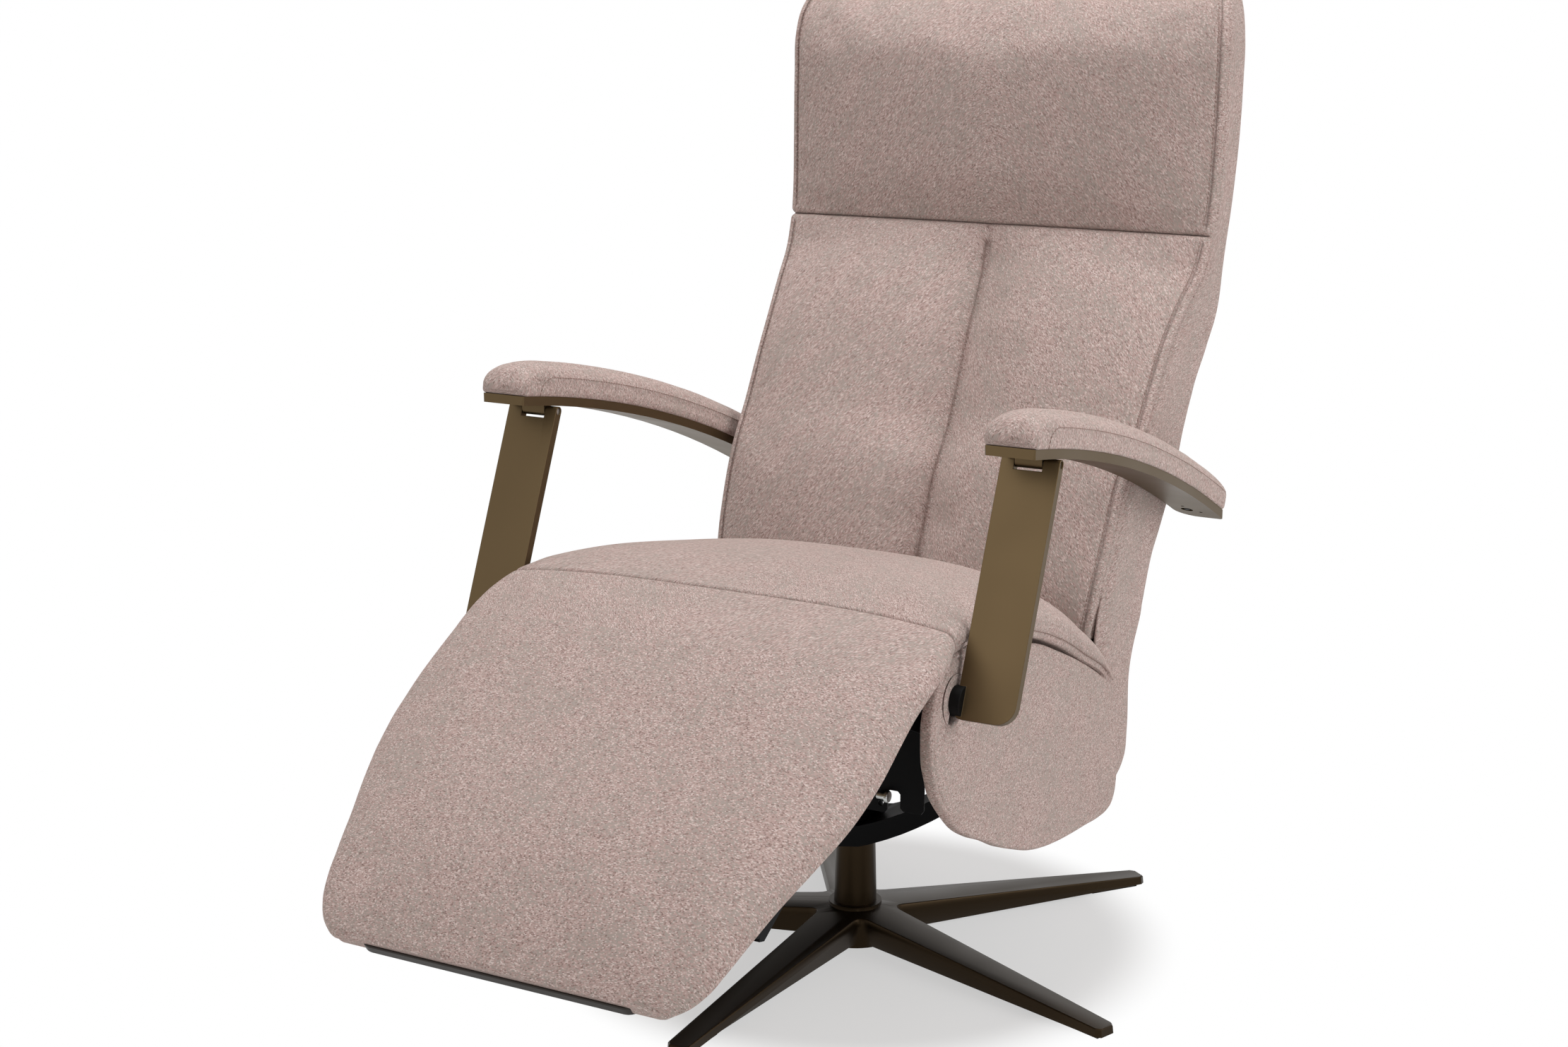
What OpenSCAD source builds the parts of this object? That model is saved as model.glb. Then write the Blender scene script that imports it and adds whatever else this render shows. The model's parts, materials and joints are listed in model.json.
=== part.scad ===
// Reclining armchair on a five-arm swivel base, in the half-reclined pose with the leg rest part
// raised. The seat turns on the column, the back hinges low behind the seat, a flat post on each
// side carries the arm, and the four pivots of each side form a parallelogram, so the arms keep
// their slope while the back reclines. The sitter faces -Y and +X is on the sitter's left.
// Heights are above the floor. Every module draws in column coordinates and place() moves the
// result so that the origin lies under the middle of the chair's outline.

/* [Base] */
// Radius from the swivel axis to the leg tips
leg_radius = 370; // [330:1:400]
// Turn of the front leg from straight ahead
leg_turn = -1; // [-10:1:10]
// Width of a leg's top face at its tip
tip_w = 25; // [20:1:32]
// Radius at which the edges of two neighbouring legs would meet
web_r = 42; // [36:1:46]
// Height of a leg's top face at its tip
tip_h = 13; // [12:0.5:20]
// Height of the legs' top faces at the column
root_h = 38.7; // [34:0.1:44]
// Height of a glide under the leg tip
glide_h = 3.5; // [3:0.5:5]
// Length of a glide
glide_l = 60; // [40:1:70]
// Radius of the hub skirt between the legs
skirt_r = 45; // [42:0.5:50]
// Outer radius of the column at its foot
column_r = 23.5; // [22:0.5:26]
// Outer radius of the column at its top
column_top_r = 22; // [20:0.5:23]
// Drop from the seat's front seam to the column's top
column_drop = 349; // [340:1:360]
// Radius of the swivel spindle
spindle_r = 12.5; // [11:0.5:13]

/* [Seat] */
// Distance from the middle to the outer face of a side panel
body_hw = 250; // [235:1:270]
// Thickness of a side panel
panel_t = 16; // [12:1:20]
// Height of the seat's front seam above the floor, at its middle
seat_h = 461; // [430:1:495]
// Distance of the front seam ahead of the swivel axis
seat_front = 285; // [275:1:295]
// Distance of the seat cushion's rear face behind the swivel axis
seat_rear = 37; // [30:1:38]
// Thickness of the seat board
board_t = 10; // [6:1:12]
// Thickness of the steel side plates
plate_t = 5; // [4:0.5:6]
// Outer radius of the seat's cross tubes
tube_r = 12.5; // [10:0.5:13]
// Wall of the cross tubes
tube_wall = 2; // [1.5:0.5:3]

/* [Posts and arms] */
// Lower post pivot, ahead of the swivel axis
post_y = 281; // [276:1:286]
// Lower post pivot, below the seat's front seam
post_drop = 76; // [73:1:79]
// Lean of the post from upright in this pose, to the rear
post_lean = 22.7; // [20:0.1:25]
// Distance between the post's two pivots
post_l = 233; // [220:1:250]
// Width of the post
post_w = 60; // [50:1:64]
// Thickness of the post
post_t = 10; // [10:0.5:12]
// Gap between the side panel and the post
post_gap = 4; // [4:0.5:8]
// Radius of the post's lower boss
boss_r = 15; // [13:0.5:17]
// Radius of the post's axle
axle_r = 10; // [8:0.5:11]
// Radius of the pin at the post's top
top_pin_r = 3.5; // [3:0.5:4]
// Width of the arm plate
arm_w = 51; // [46:1:56]
// Thickness of the arm plate
arm_t = 9.5; // [8:0.5:11]
// Radius of the arm plate's sweep
arm_r = 1790; // [1500:10:2200]
// Slope of the arm plate over the post
arm_slope = 9.84; // [8:0.02:12]
// Length of the arm plate along its sweep
arm_l = 560; // [530:1:590]
// Distance from the post's top pivot back to the arm's rear pivot
arm_reach = 453; // [450:1:456]
// Fall from the post's top pivot to the arm's rear pivot
arm_fall = 116; // [113:1:119]
// Height of the arm pad above its plate
pad_h = 38; // [30:1:42]
// Radius of the rear arm pivot pin
rear_pin_r = 6; // [5:0.5:7]

/* [Back] */
// Depth of the back and headrest cushions at their edges
cushion_t = 42; // [38:1:44]
// Height of the cushions' crown above their edges
crown = 13; // [8:1:16]
// Depth of the sewn centre channel
channel = 7; // [4:1:9]
// Wall of the upholstered back shells
shell_wall = 9; // [7:0.5:10]
// Headrest pivot, behind the swivel axis
head_y = 384; // [382:1:386]
// Headrest pivot, height above the seat's front seam
head_rise = 289; // [287:1:291]

/* [Leg rest] */
// Leg rest pivot, ahead of the swivel axis
knee_y = 290; // [286:1:294]
// Leg rest pivot, below the seat's front seam
knee_drop = 91; // [87:1:95]
// Slope of the leg rest below level in this pose
leg_slope = 31.1; // [28:0.1:34]
// Distance from the pivot to the edge of the pad's upper face
pad_lift = 75; // [74:0.5:77]
// Length of the leg rest from its pivot to the foot end
pad_end = 413; // [395:1:420]
// Thickness of the leg rest pad at its edge
pad_t = 36; // [30:1:36]
// Half width of the leg rest where it is widest
pad_hw = 263; // [250:1:270]
// Half width of the leg rest near the foot end
foot_hw = 212; // [200:1:225]
// Width of the foot plate
foot_plate_w = 295; // [260:1:320]
// Length of the runner channels
runner_l = 200; // [160:1:210]

/* [Hidden] */

// The swivel axis from the origin, which lies under the middle of the outline
axis_x = leg_radius*(cos(18 + leg_turn) - cos(18 - leg_turn))/2;
axis_y = 122.5;
$fn = 48;

// Running clearance round a turning pin, and the gap between pieces that pass each other
run_gap = 0.06;
pass_gap = 0.5;

// Pivots of one side, as [Y, Z] in column coordinates
P1 = [-post_y, seat_h - post_drop];
P2 = P1 + post_l*[sin(post_lean), cos(post_lean)];
P3 = P2 + [arm_reach, -arm_fall];
// The back turns where it closes the parallelogram with the post and the arm
P0 = P3 - P2 + P1;
HEAD = [head_y, seat_h + head_rise];
KNEE = [-knee_y, seat_h - knee_drop];

// Distances from the middle to the faces of the pieces on each side
panel_in = body_hw - panel_t;
plate_out = panel_in - 29;
plate_in = plate_out - plate_t;
inner_out = plate_in - 6;
inner_t = 6;
post_in = body_hw + post_gap;
arm_x = post_in + 5.5 + arm_w/2;

// Colours
FABRIC = [0.70, 0.62, 0.58];
BRONZE = [0.42, 0.34, 0.25];
DARK = [0.22, 0.17, 0.13];
BLACK = [0.08, 0.08, 0.08];
STEEL = [0.55, 0.55, 0.56];
WOOD = [0.72, 0.58, 0.40];

module place() {
  translate([axis_x, axis_y, 0]) children();
}

// Puts a child on the right side, or its mirror image on the left
module side(s) {
  if (s > 0) children();
  else mirror([1, 0, 0]) children();
}

// A round bar along X from x0 to x1 at the point p = [Y, Z]
module rod_x(p, r, x0, x1) {
  translate([x0, p[0], p[1]]) rotate([0, 90, 0]) cylinder(r = r, h = x1 - x0);
}

// A flat outline in Y and Z, as thick as x1 - x0
module plate_x(x0, x1) {
  translate([x0, 0, 0]) rotate([90, 0, 90]) linear_extrude(x1 - x0) children();
}

// A flat link outline with round ends, between the points p and q
module link(p, q, r) {
  translate(p) circle(r);
  translate(q) circle(r);
  translate(p) rotate(atan2(q[1] - p[1], q[0] - p[0]))
    translate([0, -r]) square([norm(q - p), 2*r]);
}

function mix(a, b, t) = a + (b - a)*t;
function unit(v) = v/norm(v);
function spline_at(a, b, c, d, t) =
  0.5*(2*b + (c - a)*t + (2*a - 5*b + 4*c - d)*t*t + (3*b - a - 3*c + d)*t*t*t);
// A smooth run through the listed stations, n steps from each to the next
function smooth(list, n) = let (last = len(list) - 1) concat(
  [for (i = [0:last - 1]) for (k = [0:n - 1])
    spline_at(list[max(i - 1, 0)], list[i], list[i + 1], list[min(i + 2, last)], k/n)],
  [list[last]]);

// A closed skin over rings of equal length, flat at both ends
module loft(rings) {
  m = len(rings[0]);
  last = len(rings) - 1;
  sides = [for (i = [0:last - 1]) for (j = [0:m - 1]) let (k = (j + 1)%m)
    each [[i*m + j, (i + 1)*m + k, i*m + k], [i*m + j, (i + 1)*m + j, (i + 1)*m + k]]];
  first_cap = [[for (j = [0:m - 1]) j]];
  last_cap = [[for (j = [m - 1:-1:0]) last*m + j]];
  polyhedron([for (r = rings) each r], concat(sides, first_cap, last_cap), convexity = 8);
}

// Stations across a cushion, from one edge to the other, closer at the edges and the channel
SPREAD = [-1, -0.94, -0.8, -0.55, -0.28, -0.045, 0, 0.045, 0.28, 0.55, 0.8, 0.94, 1];
function swell(u) = pow(max(1 - u*u, 0), 0.6);

// One ring of a cushion: f is the edge's [Y, Z], n points into the cushion, w is the half width,
// t the depth at the edge. The sides are drawn in between the front and rear edges.
function cushion_ring(f, n, w, t, rise, sew) = concat(
  [for (u = SPREAD) ring_point(f, n, w*u, (u == 0 ? sew : 0) - rise*swell(u))],
  [for (p = [[w - 4, t*0.45], [w - 2, t], [2 - w, t], [4 - w, t*0.45]]) ring_point(f, n, p[0], p[1])]);
function ring_point(f, n, x, d) = [x, f[0] + n[0]*d, f[1] + n[1]*d];

// Base
column_h = seat_h - column_drop;
module star_base() {
  color(DARK) place() difference() {
    union() {
      star_body();
      cylinder(r = skirt_r, h = root_h - 4);
      translate([0, 0, root_h - 6]) cylinder(r = column_r + 6, h = 8);
    }
    translate([0, 0, -1]) cylinder(r = skirt_r - 9, h = 12);
    translate([0, 0, -1]) cylinder(r = spindle_r, h = 60);
    translate([0, 0, root_h - 4]) cylinder(r = column_r, h = 20);
    for (k = [0:4]) leg(k) translate([0, 0, -1]) linear_extrude(10)
      polygon([[62, -11], [leg_radius*0.7, -5], [leg_radius*0.7, 5], [62, 11]]);
  }
}

// Turns a child that is drawn along +X onto leg k
module leg(k) {
  rotate(leg_turn - 90 + 72*k) children();
}

// The star's body: rings of one outline, each drawn in or out and at its own height
module star_body() {
  outlines = [star_ring(5), star_ring(-0.6), star_ring(0), star_ring(1)];
  rings = [
    [for (p = outlines[0]) [p[0], p[1], glide_h]],
    [for (p = outlines[1]) [p[0], p[1], max(glide_h + 0.6, top_height(p) - 9)]],
    [for (p = outlines[2]) [p[0], p[1], top_height(p) - 1.2]],
    [for (p = outlines[3]) [p[0], p[1], top_height(p)]]
  ];
  m = len(rings[0]);
  sides = [for (i = [0:2]) for (j = [0:m - 1]) let (k = (j + 1)%m)
    each [[i*m + j, (i + 1)*m + k, i*m + k], [i*m + j, (i + 1)*m + j, (i + 1)*m + k]]];
  low = [for (j = [0:m - 1]) [4*m, j, (j + 1)%m]];
  high = [for (j = [0:m - 1]) [4*m + 1, 3*m + (j + 1)%m, 3*m + j]];
  polyhedron([for (r = rings) each r, [0, 0, glide_h], [0, 0, root_h]], concat(sides, low, high));
}

// Along a leg the top face falls evenly; p[2] is the distance along the leg
function top_height(p) = root_h - (root_h - tip_h)*p[2]/leg_radius;
function half_leg(a) = mix(web_r*sin(36), tip_w/2, (a - web_r*cos(36))/(leg_radius - web_r*cos(36)));
function on_leg(k, a, b) = let (t = leg_turn - 90 + 72*k) [a*cos(t) - b*sin(t), a*sin(t) + b*cos(t), a];
// The star's outline, drawn in by c, with a rounded web between two legs
web_f = 14;
function web_point(k, c) = let (r = web_r - 1.2*c, p = on_leg(k + 0.5, r, 0)) [p[0], p[1], r*cos(36)];
function star_ring(c) = let (r = leg_radius - c, h = half_leg(leg_radius) - c, a = web_r*cos(36) + web_f,
  g = half_leg(a) - c) [for (k = [0:4]) each concat(
    [on_leg(k, r - 5, -h), on_leg(k, r, 4 - h), on_leg(k, r, h - 4), on_leg(k, r - 5, h)],
    [for (t = [0:0.25:1]) let (p = on_leg(k, a, g), m = web_point(k, c), q = on_leg(k + 1, a, -g))
      mix(mix(p, m, t), mix(m, q, t), t)])];

module floor_glides() {
  color(BLACK) place() for (k = [0:4]) leg(k)
    translate([leg_radius - glide_l - 7, -tip_w/2 + 6, 0]) cube([glide_l, tip_w - 12, glide_h]);
}

module column() {
  color(DARK) place() difference() {
    translate([0, 0, root_h - 4]) rotate_extrude() polygon([
      [0, 0], [column_r, 0], [column_r, 20], [column_top_r + 0.4, column_h - root_h - 10],
      [column_top_r, column_h - root_h + 4], [0, column_h - root_h + 4]]);
    cylinder(r = spindle_r, h = column_h + 10);
  }
}

module swivel_spindle() {
  color(STEEL) place() translate([0, 0, 14]) cylinder(r = spindle_r, h = bush_top - 4 - 14);
}

module thrust_ring() {
  color(BLACK) place() translate([0, 0, column_h]) difference() {
    cylinder(r = column_top_r + 3, h = 3.5);
    translate([0, 0, -1]) cylinder(r = spindle_r, h = 8);
  }
}

module hub_bolt() {
  color(STEEL) place() {
    translate([0, 0, 9]) cylinder(r = 18, h = 2);
    translate([0, 0, 3]) cylinder(r = 9, h = 6, $fn = 6);
    translate([0, 0, 11]) cylinder(r = 5, h = 3);
  }
}

// Swivel cradle: a pressed channel that rises from the column's top to the side plates
cradle_low = column_h + 4;
cradle_hw = 42;
cradle_d = 24;
bush_top = cradle_low + 46;
hub_hole = 16;
cradle_flat = 25;
function cradle_rise(x) = cradle_low + 4 + 0.36*x + 0.0017*x*x;
cradle_reach = plate_in;

module cradle_outline(drop, top) {
  xs = [for (k = [0:10]) mix(0, cradle_reach - cradle_flat, k/10)];
  polygon(concat(
    [for (x = xs) [x + cradle_flat, cradle_rise(x) - drop]],
    [[cradle_reach, cradle_rise(cradle_reach - cradle_flat) + top - 2]],
    [for (k = [10:-1:0]) [xs[k] + cradle_flat, cradle_rise(xs[k]) + top]],
    [[0, cradle_low + top], [0, cradle_low - drop]]));
}

module swivel_cradle() {
  color(BLACK) place() {
    for (s = [0, 1]) mirror([s, 0, 0]) difference() {
      translate([0, cradle_hw, 0]) rotate([90, 0, 0]) linear_extrude(2*cradle_hw)
        cradle_outline(0, cradle_d);
      translate([0, cradle_hw - 6, -5]) rotate([90, 0, 0]) linear_extrude(2*cradle_hw - 12)
        cradle_outline(8, cradle_d - 6);
      translate([0, 0, 1]) cylinder(r = hub_hole, h = 400);
      for (y = [-24, 24]) rod_x([y, cradle_bolt_z], 5, cradle_reach - 20, cradle_reach + 1);
    }
    difference() {
      translate([0, 0, cradle_low]) cylinder(r = 30, h = 50);
      translate([0, 0, cradle_low - 1]) cylinder(r = hub_hole, h = 48);
    }
    for (s = [0, 1]) mirror([s, 0, 0]) difference() {
      translate([cradle_reach - 6, -cradle_hw, cradle_bolt_z - 11]) cube([6, 2*cradle_hw, 24]);
      for (y = [-24, 24]) rod_x([y, cradle_bolt_z], 5, cradle_reach - 20, cradle_reach + 1);
    }
  }
}
cradle_bolt_z = cradle_rise(cradle_reach - cradle_flat) + 10;

module swivel_bush() {
  color(BLACK) place() translate([0, 0, cradle_low]) difference() {
    cylinder(r = hub_hole, h = 44);
    translate([0, 0, -1]) cylinder(r = spindle_r + run_gap, h = 50);
  }
}

module cradle_bolts() {
  color(STEEL) place() for (s = [0, 1]) mirror([s, 0, 0]) for (y = [-24, 24]) {
    rod_x([y, cradle_bolt_z], 5, cradle_reach - 10, plate_out);
    rod_x([y, cradle_bolt_z], 9, plate_out, plate_out + 6);
  }
}

// Seat
function board_z(y) = seat_h - 54 - 0.24*(y + seat_front);
TUBE_F = [-245, board_z(-245) - board_t - tube_r - pass_gap];
TUBE_R = [28, board_z(28) - board_t - tube_r - pass_gap];

module side_plate(s) {
  color(BLACK) place() side(s) difference() {
    plate_x(plate_in, plate_out) difference() {
      union() {
        polygon([
          [-post_y - 25, KNEE[1] - 10], P1 + [-24, 6], P1 + [-8, 10], P1 + [20, 10],
          [-200, seat_h - 89], [-60, seat_h - 131], [seat_rear, board_z(seat_rear) - 14],
          [58, seat_h - 177], P0 + [0, 18], P0 + [0, -18], [80, seat_h - 225],
          [50, seat_h - 253], [-55, seat_h - 253], [-150, seat_h - 193], [-220, seat_h - 139]]);
        translate(P0) circle(18);
      }
      translate([-165, seat_h - 141]) circle(18);
      translate([-60, seat_h - 181]) circle(20);
      translate(TUBE_F) circle(tube_r);
      translate(TUBE_R) circle(tube_r);
      translate(KNEE) circle(6);
      translate(P0) circle(8);
    }
    for (y = [-24, 24]) rod_x([y, cradle_bolt_z], 5, plate_in - 1, plate_out + 1);
  }
}
module side_plate_left() { side_plate(1); }
module side_plate_right() { side_plate(-1); }

module cross_tube(p, hw) {
  color(BLACK) place() difference() {
    rod_x(p, tube_r, -hw, hw);
    rod_x(p, tube_r - tube_wall, -hw - 1, hw + 1);
  }
}
module front_cross_tube() { cross_tube(TUBE_F, plate_out); }
module rear_cross_tube() { cross_tube(TUBE_R, plate_out); }

module seat_board() {
  color(WOOD) place() difference() {
    plate_x(-plate_in + pass_gap, plate_in - pass_gap) polygon([
      [-seat_front + 16, board_z(-seat_front + 16)], [seat_rear - 8, board_z(seat_rear - 8)],
      [seat_rear - 8, board_z(seat_rear - 8) - board_t],
      [-seat_front + 16, board_z(-seat_front + 16) - board_t]]);
    for (x = [-110, 0, 110]) for (y = [-200, -110, -20])
      translate([x, y, 0]) cylinder(r = 10, h = 600);
  }
}

// Seat cushion: stations from the front seam to the rear, each [Y, fall of the middle, fall of
// the edge, height of the side panel under it], all but the last below the seat height
SEAT = [
  [-seat_front, 0, 9, 34], [-240, -2, 9, 32], [-180, 1, 15, 40], [-115, 9, 27, 61],
  [-60, 16, 44, 80], [0, 26, 69, 105], [seat_rear, 39, 94, 124]
];
function seat_ring(q) = let (w = body_hw + (q[0] < -260 ? 1.5 : 0), b = board_z(q[0]) + 0.2) concat(
  [for (u = SPREAD) [w*u, q[0], seat_h - mix(q[1], q[2], pow(abs(u), 2.6))]],
  [[w, q[0], seat_h - mix(q[2], q[3], 0.5)], [w - 3, q[0], seat_h - q[3] + 1],
   [panel_in - 2, q[0], seat_h - q[3] + 1], [panel_in - 3, q[0], b],
   [3 - panel_in, q[0], b], [2 - panel_in, q[0], seat_h - q[3] + 1],
   [3 - w, q[0], seat_h - q[3] + 1], [-w, q[0], seat_h - mix(q[2], q[3], 0.5)]]);

module seat_cushion() {
  color(FABRIC) place() loft([for (q = smooth(SEAT, 2)) seat_ring(q)]);
}

// Side panel: the seat's side, open for the post's boss, thinner where the back moves inside it
module side_panel(s) {
  color(FABRIC) place() side(s) difference() {
    plate_x(panel_in, body_hw) polygon(panel_outline());
    rod_x(P1, boss_r + 7, panel_in - 1, body_hw + 1);
    translate([panel_in - 1, 20, 0]) cube([panel_t - 4.5, 400, 700]);
  }
}
function panel_outline() = let (h = seat_h) smooth([
  [-seat_front, h - 36], [-240, h - 33], [-180, h - 41.5], [-115, h - 62.5], [-60, h - 81.5],
  [0, h - 106.5], [seat_rear - 3, h - 124], [seat_rear + 2.5, h - 118],
  [seat_rear + 3, h - 100], [66, h - 111], [87, h - 129],
  [104, h - 147], [112, h - 172], [127, h - 207], [141, h - 246], [148, h - 281], [134, h - 309],
  [100, h - 313], [20, h - 307], [-55, h - 297], [-128, h - 275], [-197, h - 244],
  [-264, h - 210], [-304, h - 170], [-322, h - 120], [-321, h - 84], [-310, h - 58], [-299, h - 43]], 2);
module side_panel_left() { side_panel(1); }
module side_panel_right() { side_panel(-1); }

module post_bearings() {
  color(BLACK) place() for (s = [-1, 1]) side(s) difference() {
    union() {
      rod_x(P1, 18, plate_out, plate_out + 6);
      rod_x(P1, 16, plate_out + 6, panel_in - 1);
    }
    rod_x(P1, axle_r + run_gap, plate_out + 1.5, panel_in);
  }
}

module back_pivot_pins() {
  color(STEEL) place() for (s = [-1, 1]) side(s) {
    rod_x(P0, 8, inner_out - inner_t - 5, plate_out);
    rod_x(P0, 12, plate_out, plate_out + 5);
  }
}

module knee_pivot_pins() {
  color(STEEL) place() for (s = [-1, 1]) side(s) rod_x(KNEE, 6, inner_out - inner_t - 4, plate_out);
}

// Post: a flat bar with a forked top, round boss at its lower inner edge. Drawn along the post,
// x from its inner edge, z from the lower pivot.
fork_in = 14;
fork_out = 43;
module post(s) {
  color(BRONZE) place() side(s) translate([post_in, P1[0], P1[1]]) rotate([-post_lean, 0, 0])
    difference() {
      union() {
        translate([0, post_t/2, 0]) rotate([90, 0, 0]) linear_extrude(post_t) post_outline();
        translate([0, 0, post_l]) rotate([0, 90, 0]) cylinder(r = post_t/2, h = post_w);
        translate([panel_in + 2 - post_in, 0, 0]) rotate([0, 90, 0])
          cylinder(r = boss_r, h = post_gap + panel_t + 5);
      }
      translate([fork_in, -post_t, post_l - 9]) cube([fork_out - fork_in, 2*post_t, 40]);
      translate([-1, 0, post_l]) rotate([0, 90, 0]) cylinder(r = top_pin_r, h = post_w + 2);
      translate([panel_in + 1 - post_in, 0, 0]) rotate([0, 90, 0])
        cylinder(r = axle_r, h = post_gap + panel_t - 1);
    }
}
module post_outline() {
  r = 19;
  polygon(concat([[0, post_l], [0, 5 - 17], [1.5, -15.5], [5, -17]],
    [for (a = [-90:15:0]) [post_w - r + r*cos(a), -17 + r + r*sin(a)]], [[post_w, post_l]]));
}
module post_left() { post(1); }
module post_right() { post(-1); }

module post_axle(s) {
  color(STEEL) place() side(s)
    rod_x(P1, axle_r, plate_out + 2, post_in);
}
module post_axle_left() { post_axle(1); }
module post_axle_right() { post_axle(-1); }

module post_pin(s) {
  color(STEEL) place() side(s) rod_x(P2, top_pin_r, post_in + 1.5, post_in + post_w - 2);
}
module post_pin_left() { post_pin(1); }
module post_pin_right() { post_pin(-1); }

// Arm: distance e along the sweep from the front end, lifted d square to it. The sweep passes
// over the post's top pivot, its rear pivot stays a fixed run from the end, and the rest of the
// length stands out in front.
plate_lift = 5.48;
arm_tail = 35.79;
arm_hub = P2 - (arm_r - plate_lift)*[sin(arm_slope), cos(arm_slope)];
pin_e = arm_l - arm_tail;
pin_angle = atan2(P3[0] - arm_hub[0], P3[1] - arm_hub[1]);
function arm_angle(e) = pin_angle + (e - pin_e)/arm_r*180/PI;
function arm_point(e, d) = arm_hub + (arm_r + d)*[sin(arm_angle(e)), cos(arm_angle(e))];
arm_front = arm_point(0, 0);

module arm_plate(s) {
  knuckle = post_in + fork_in + 0.6;
  color(BRONZE) place() side(s) difference() {
    union() {
      intersection() {
        plate_x(arm_x - arm_w/2, arm_x + arm_w/2) polygon(concat(
          [for (k = [0:16]) arm_point(arm_l*k/16, 0)], [for (k = [16:-1:0]) arm_point(arm_l*k/16, arm_t)]));
        arm_plan(0, arm_w/2);
      }
      plate_x(knuckle, knuckle + fork_out - fork_in - 1.2) union() {
        translate(P2) circle(6);
        translate(P2 + [-6, 0]) square([12, 12]);
      }
    }
    rod_x(P2, top_pin_r + run_gap, knuckle - 1, knuckle + 40);
    arm_holes();
  }
}
// The plate's plan: round inner rear corner, small radii at the others
module arm_plan(grow, hw) {
  y0 = arm_front[0] - grow;
  y1 = arm_point(arm_l, 0)[0] + grow;
  r = 24;
  translate([arm_x, 0, 0]) linear_extrude(900) polygon(concat(
    [[-hw, y0 + 2], [2 - hw, y0], [hw - 2, y0], [hw, y0 + 2], [hw, y1 - 3], [hw - 3, y1]],
    [for (a = [90:15:180]) [r - hw + r*cos(a), y1 - r + r*sin(a)]]));
}
module arm_plate_left() { arm_plate(1); }
module arm_plate_right() { arm_plate(-1); }

// The lug's bolt and two screws come up through the plate, square to its rear end
lug_e = pin_e + 3.79;
module arm_holes() {
  at_lug() {
    translate([0, 0, -12]) cylinder(r = 3.2, h = 40);
    translate([0, 0, -10]) cylinder(r = 6.8, h = 14);
    for (p = [[0, -16], [14, 7]]) translate([p[0], p[1], -12]) cylinder(r = 2, h = 30);
    for (p = [[0, -16], [14, 7]]) translate([p[0], p[1], -0.01]) cylinder(r1 = 3.9, r2 = 2, h = 2);
  }
}
module at_lug() {
  p = arm_point(lug_e, 0);
  translate([arm_x - 7, p[0], p[1]]) rotate([-arm_angle(lug_e), 0, 0]) children();
}

// Arm pad: rings along the sweep, each seen from its front end
PAD_ENDS = [[0, 0.5, 0.35], [3, 0.75, 0.1], [9, 0.92, 0], [20, 1, 0]];
function arm_ring(e, h, c) = let (hw = arm_w/2 + 2 - c*8, b = arm_t + 0.15) [for (p = concat(
  [for (a = [180:-15:0]) [hw*cos(a)*(1 - 0.04*sin(2*a)*sin(2*a)), h*0.55 + (h*0.45)*sin(a)]],
  [[hw, h*0.3], [hw - 1.5, 0], [1.5 - hw, 0], [-hw, h*0.3]]))
  [arm_x + p[0], arm_point(e, b + p[1])[0], arm_point(e, b + p[1])[1]]];
module arm_pad(s) {
  body = [for (k = [1:13]) [20 + (arm_l - 40)*k/14, 1, 0]];
  rear = [for (k = [3:-1:0]) [arm_l - PAD_ENDS[k][0] - 1, PAD_ENDS[k][1], PAD_ENDS[k][2]]];
  color(FABRIC) place() side(s) difference() {
    loft([for (q = concat(PAD_ENDS, body, rear)) arm_ring(q[0] + 0.5, pad_h*q[1], q[2])]);
    lug_room(1);
  }
}
module lug_room(g) {
  plate_x(arm_x - arm_w/2 - 8, arm_x + arm_w/2 - 10 + g) {
    translate(P3) circle(11 + g);
    translate(P3) rotate(-arm_angle(lug_e)) translate([-17 - g, -16]) square([34 + 2*g, 16]);
  }
}
module arm_pad_left() { arm_pad(1); }
module arm_pad_right() { arm_pad(-1); }

module arm_lug(s) {
  color(BLACK) place() side(s) difference() {
    intersection() {
      plate_x(arm_x - arm_w/2 + 2, arm_x + arm_w/2 - 10) {
        translate(P3) circle(11);
        translate(P3) rotate(-arm_angle(lug_e)) translate([-17, -16]) square([34, 16]);
      }
      plate_x(0, 400) polygon(concat([for (k = [12:16]) arm_point(arm_l*k/16 - 0.1, arm_t + 0.02)],
        [for (k = [16:-1:12]) arm_point(arm_l*k/16, 60)]));
    }
    rod_x(P3, rear_pin_r + 0.3, 0, arm_x + arm_w/2 - 14);
    at_lug() translate([0, 0, -5]) cylinder(r = 3.2, h = 16.5);
  }
}
module arm_lug_left() { arm_lug(1); }
module arm_lug_right() { arm_lug(-1); }

module arm_screws(s) {
  color(BLACK) place() side(s) at_lug() {
    translate([0, 0, 2]) difference() {
      cylinder(r = 5.5, h = 2);
      translate([0, 0, -0.6]) cylinder(r = 2.2, h = 1.4, $fn = 6);
    }
    cylinder(r = 3.2, h = 11.5);
    for (p = [[0, -16], [14, 7]]) translate([p[0], p[1], 0.4]) cylinder(r = 2, h = arm_t - 0.8);
  }
}
module arm_screws_left() { arm_screws(1); }
module arm_screws_right() { arm_screws(-1); }

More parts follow.
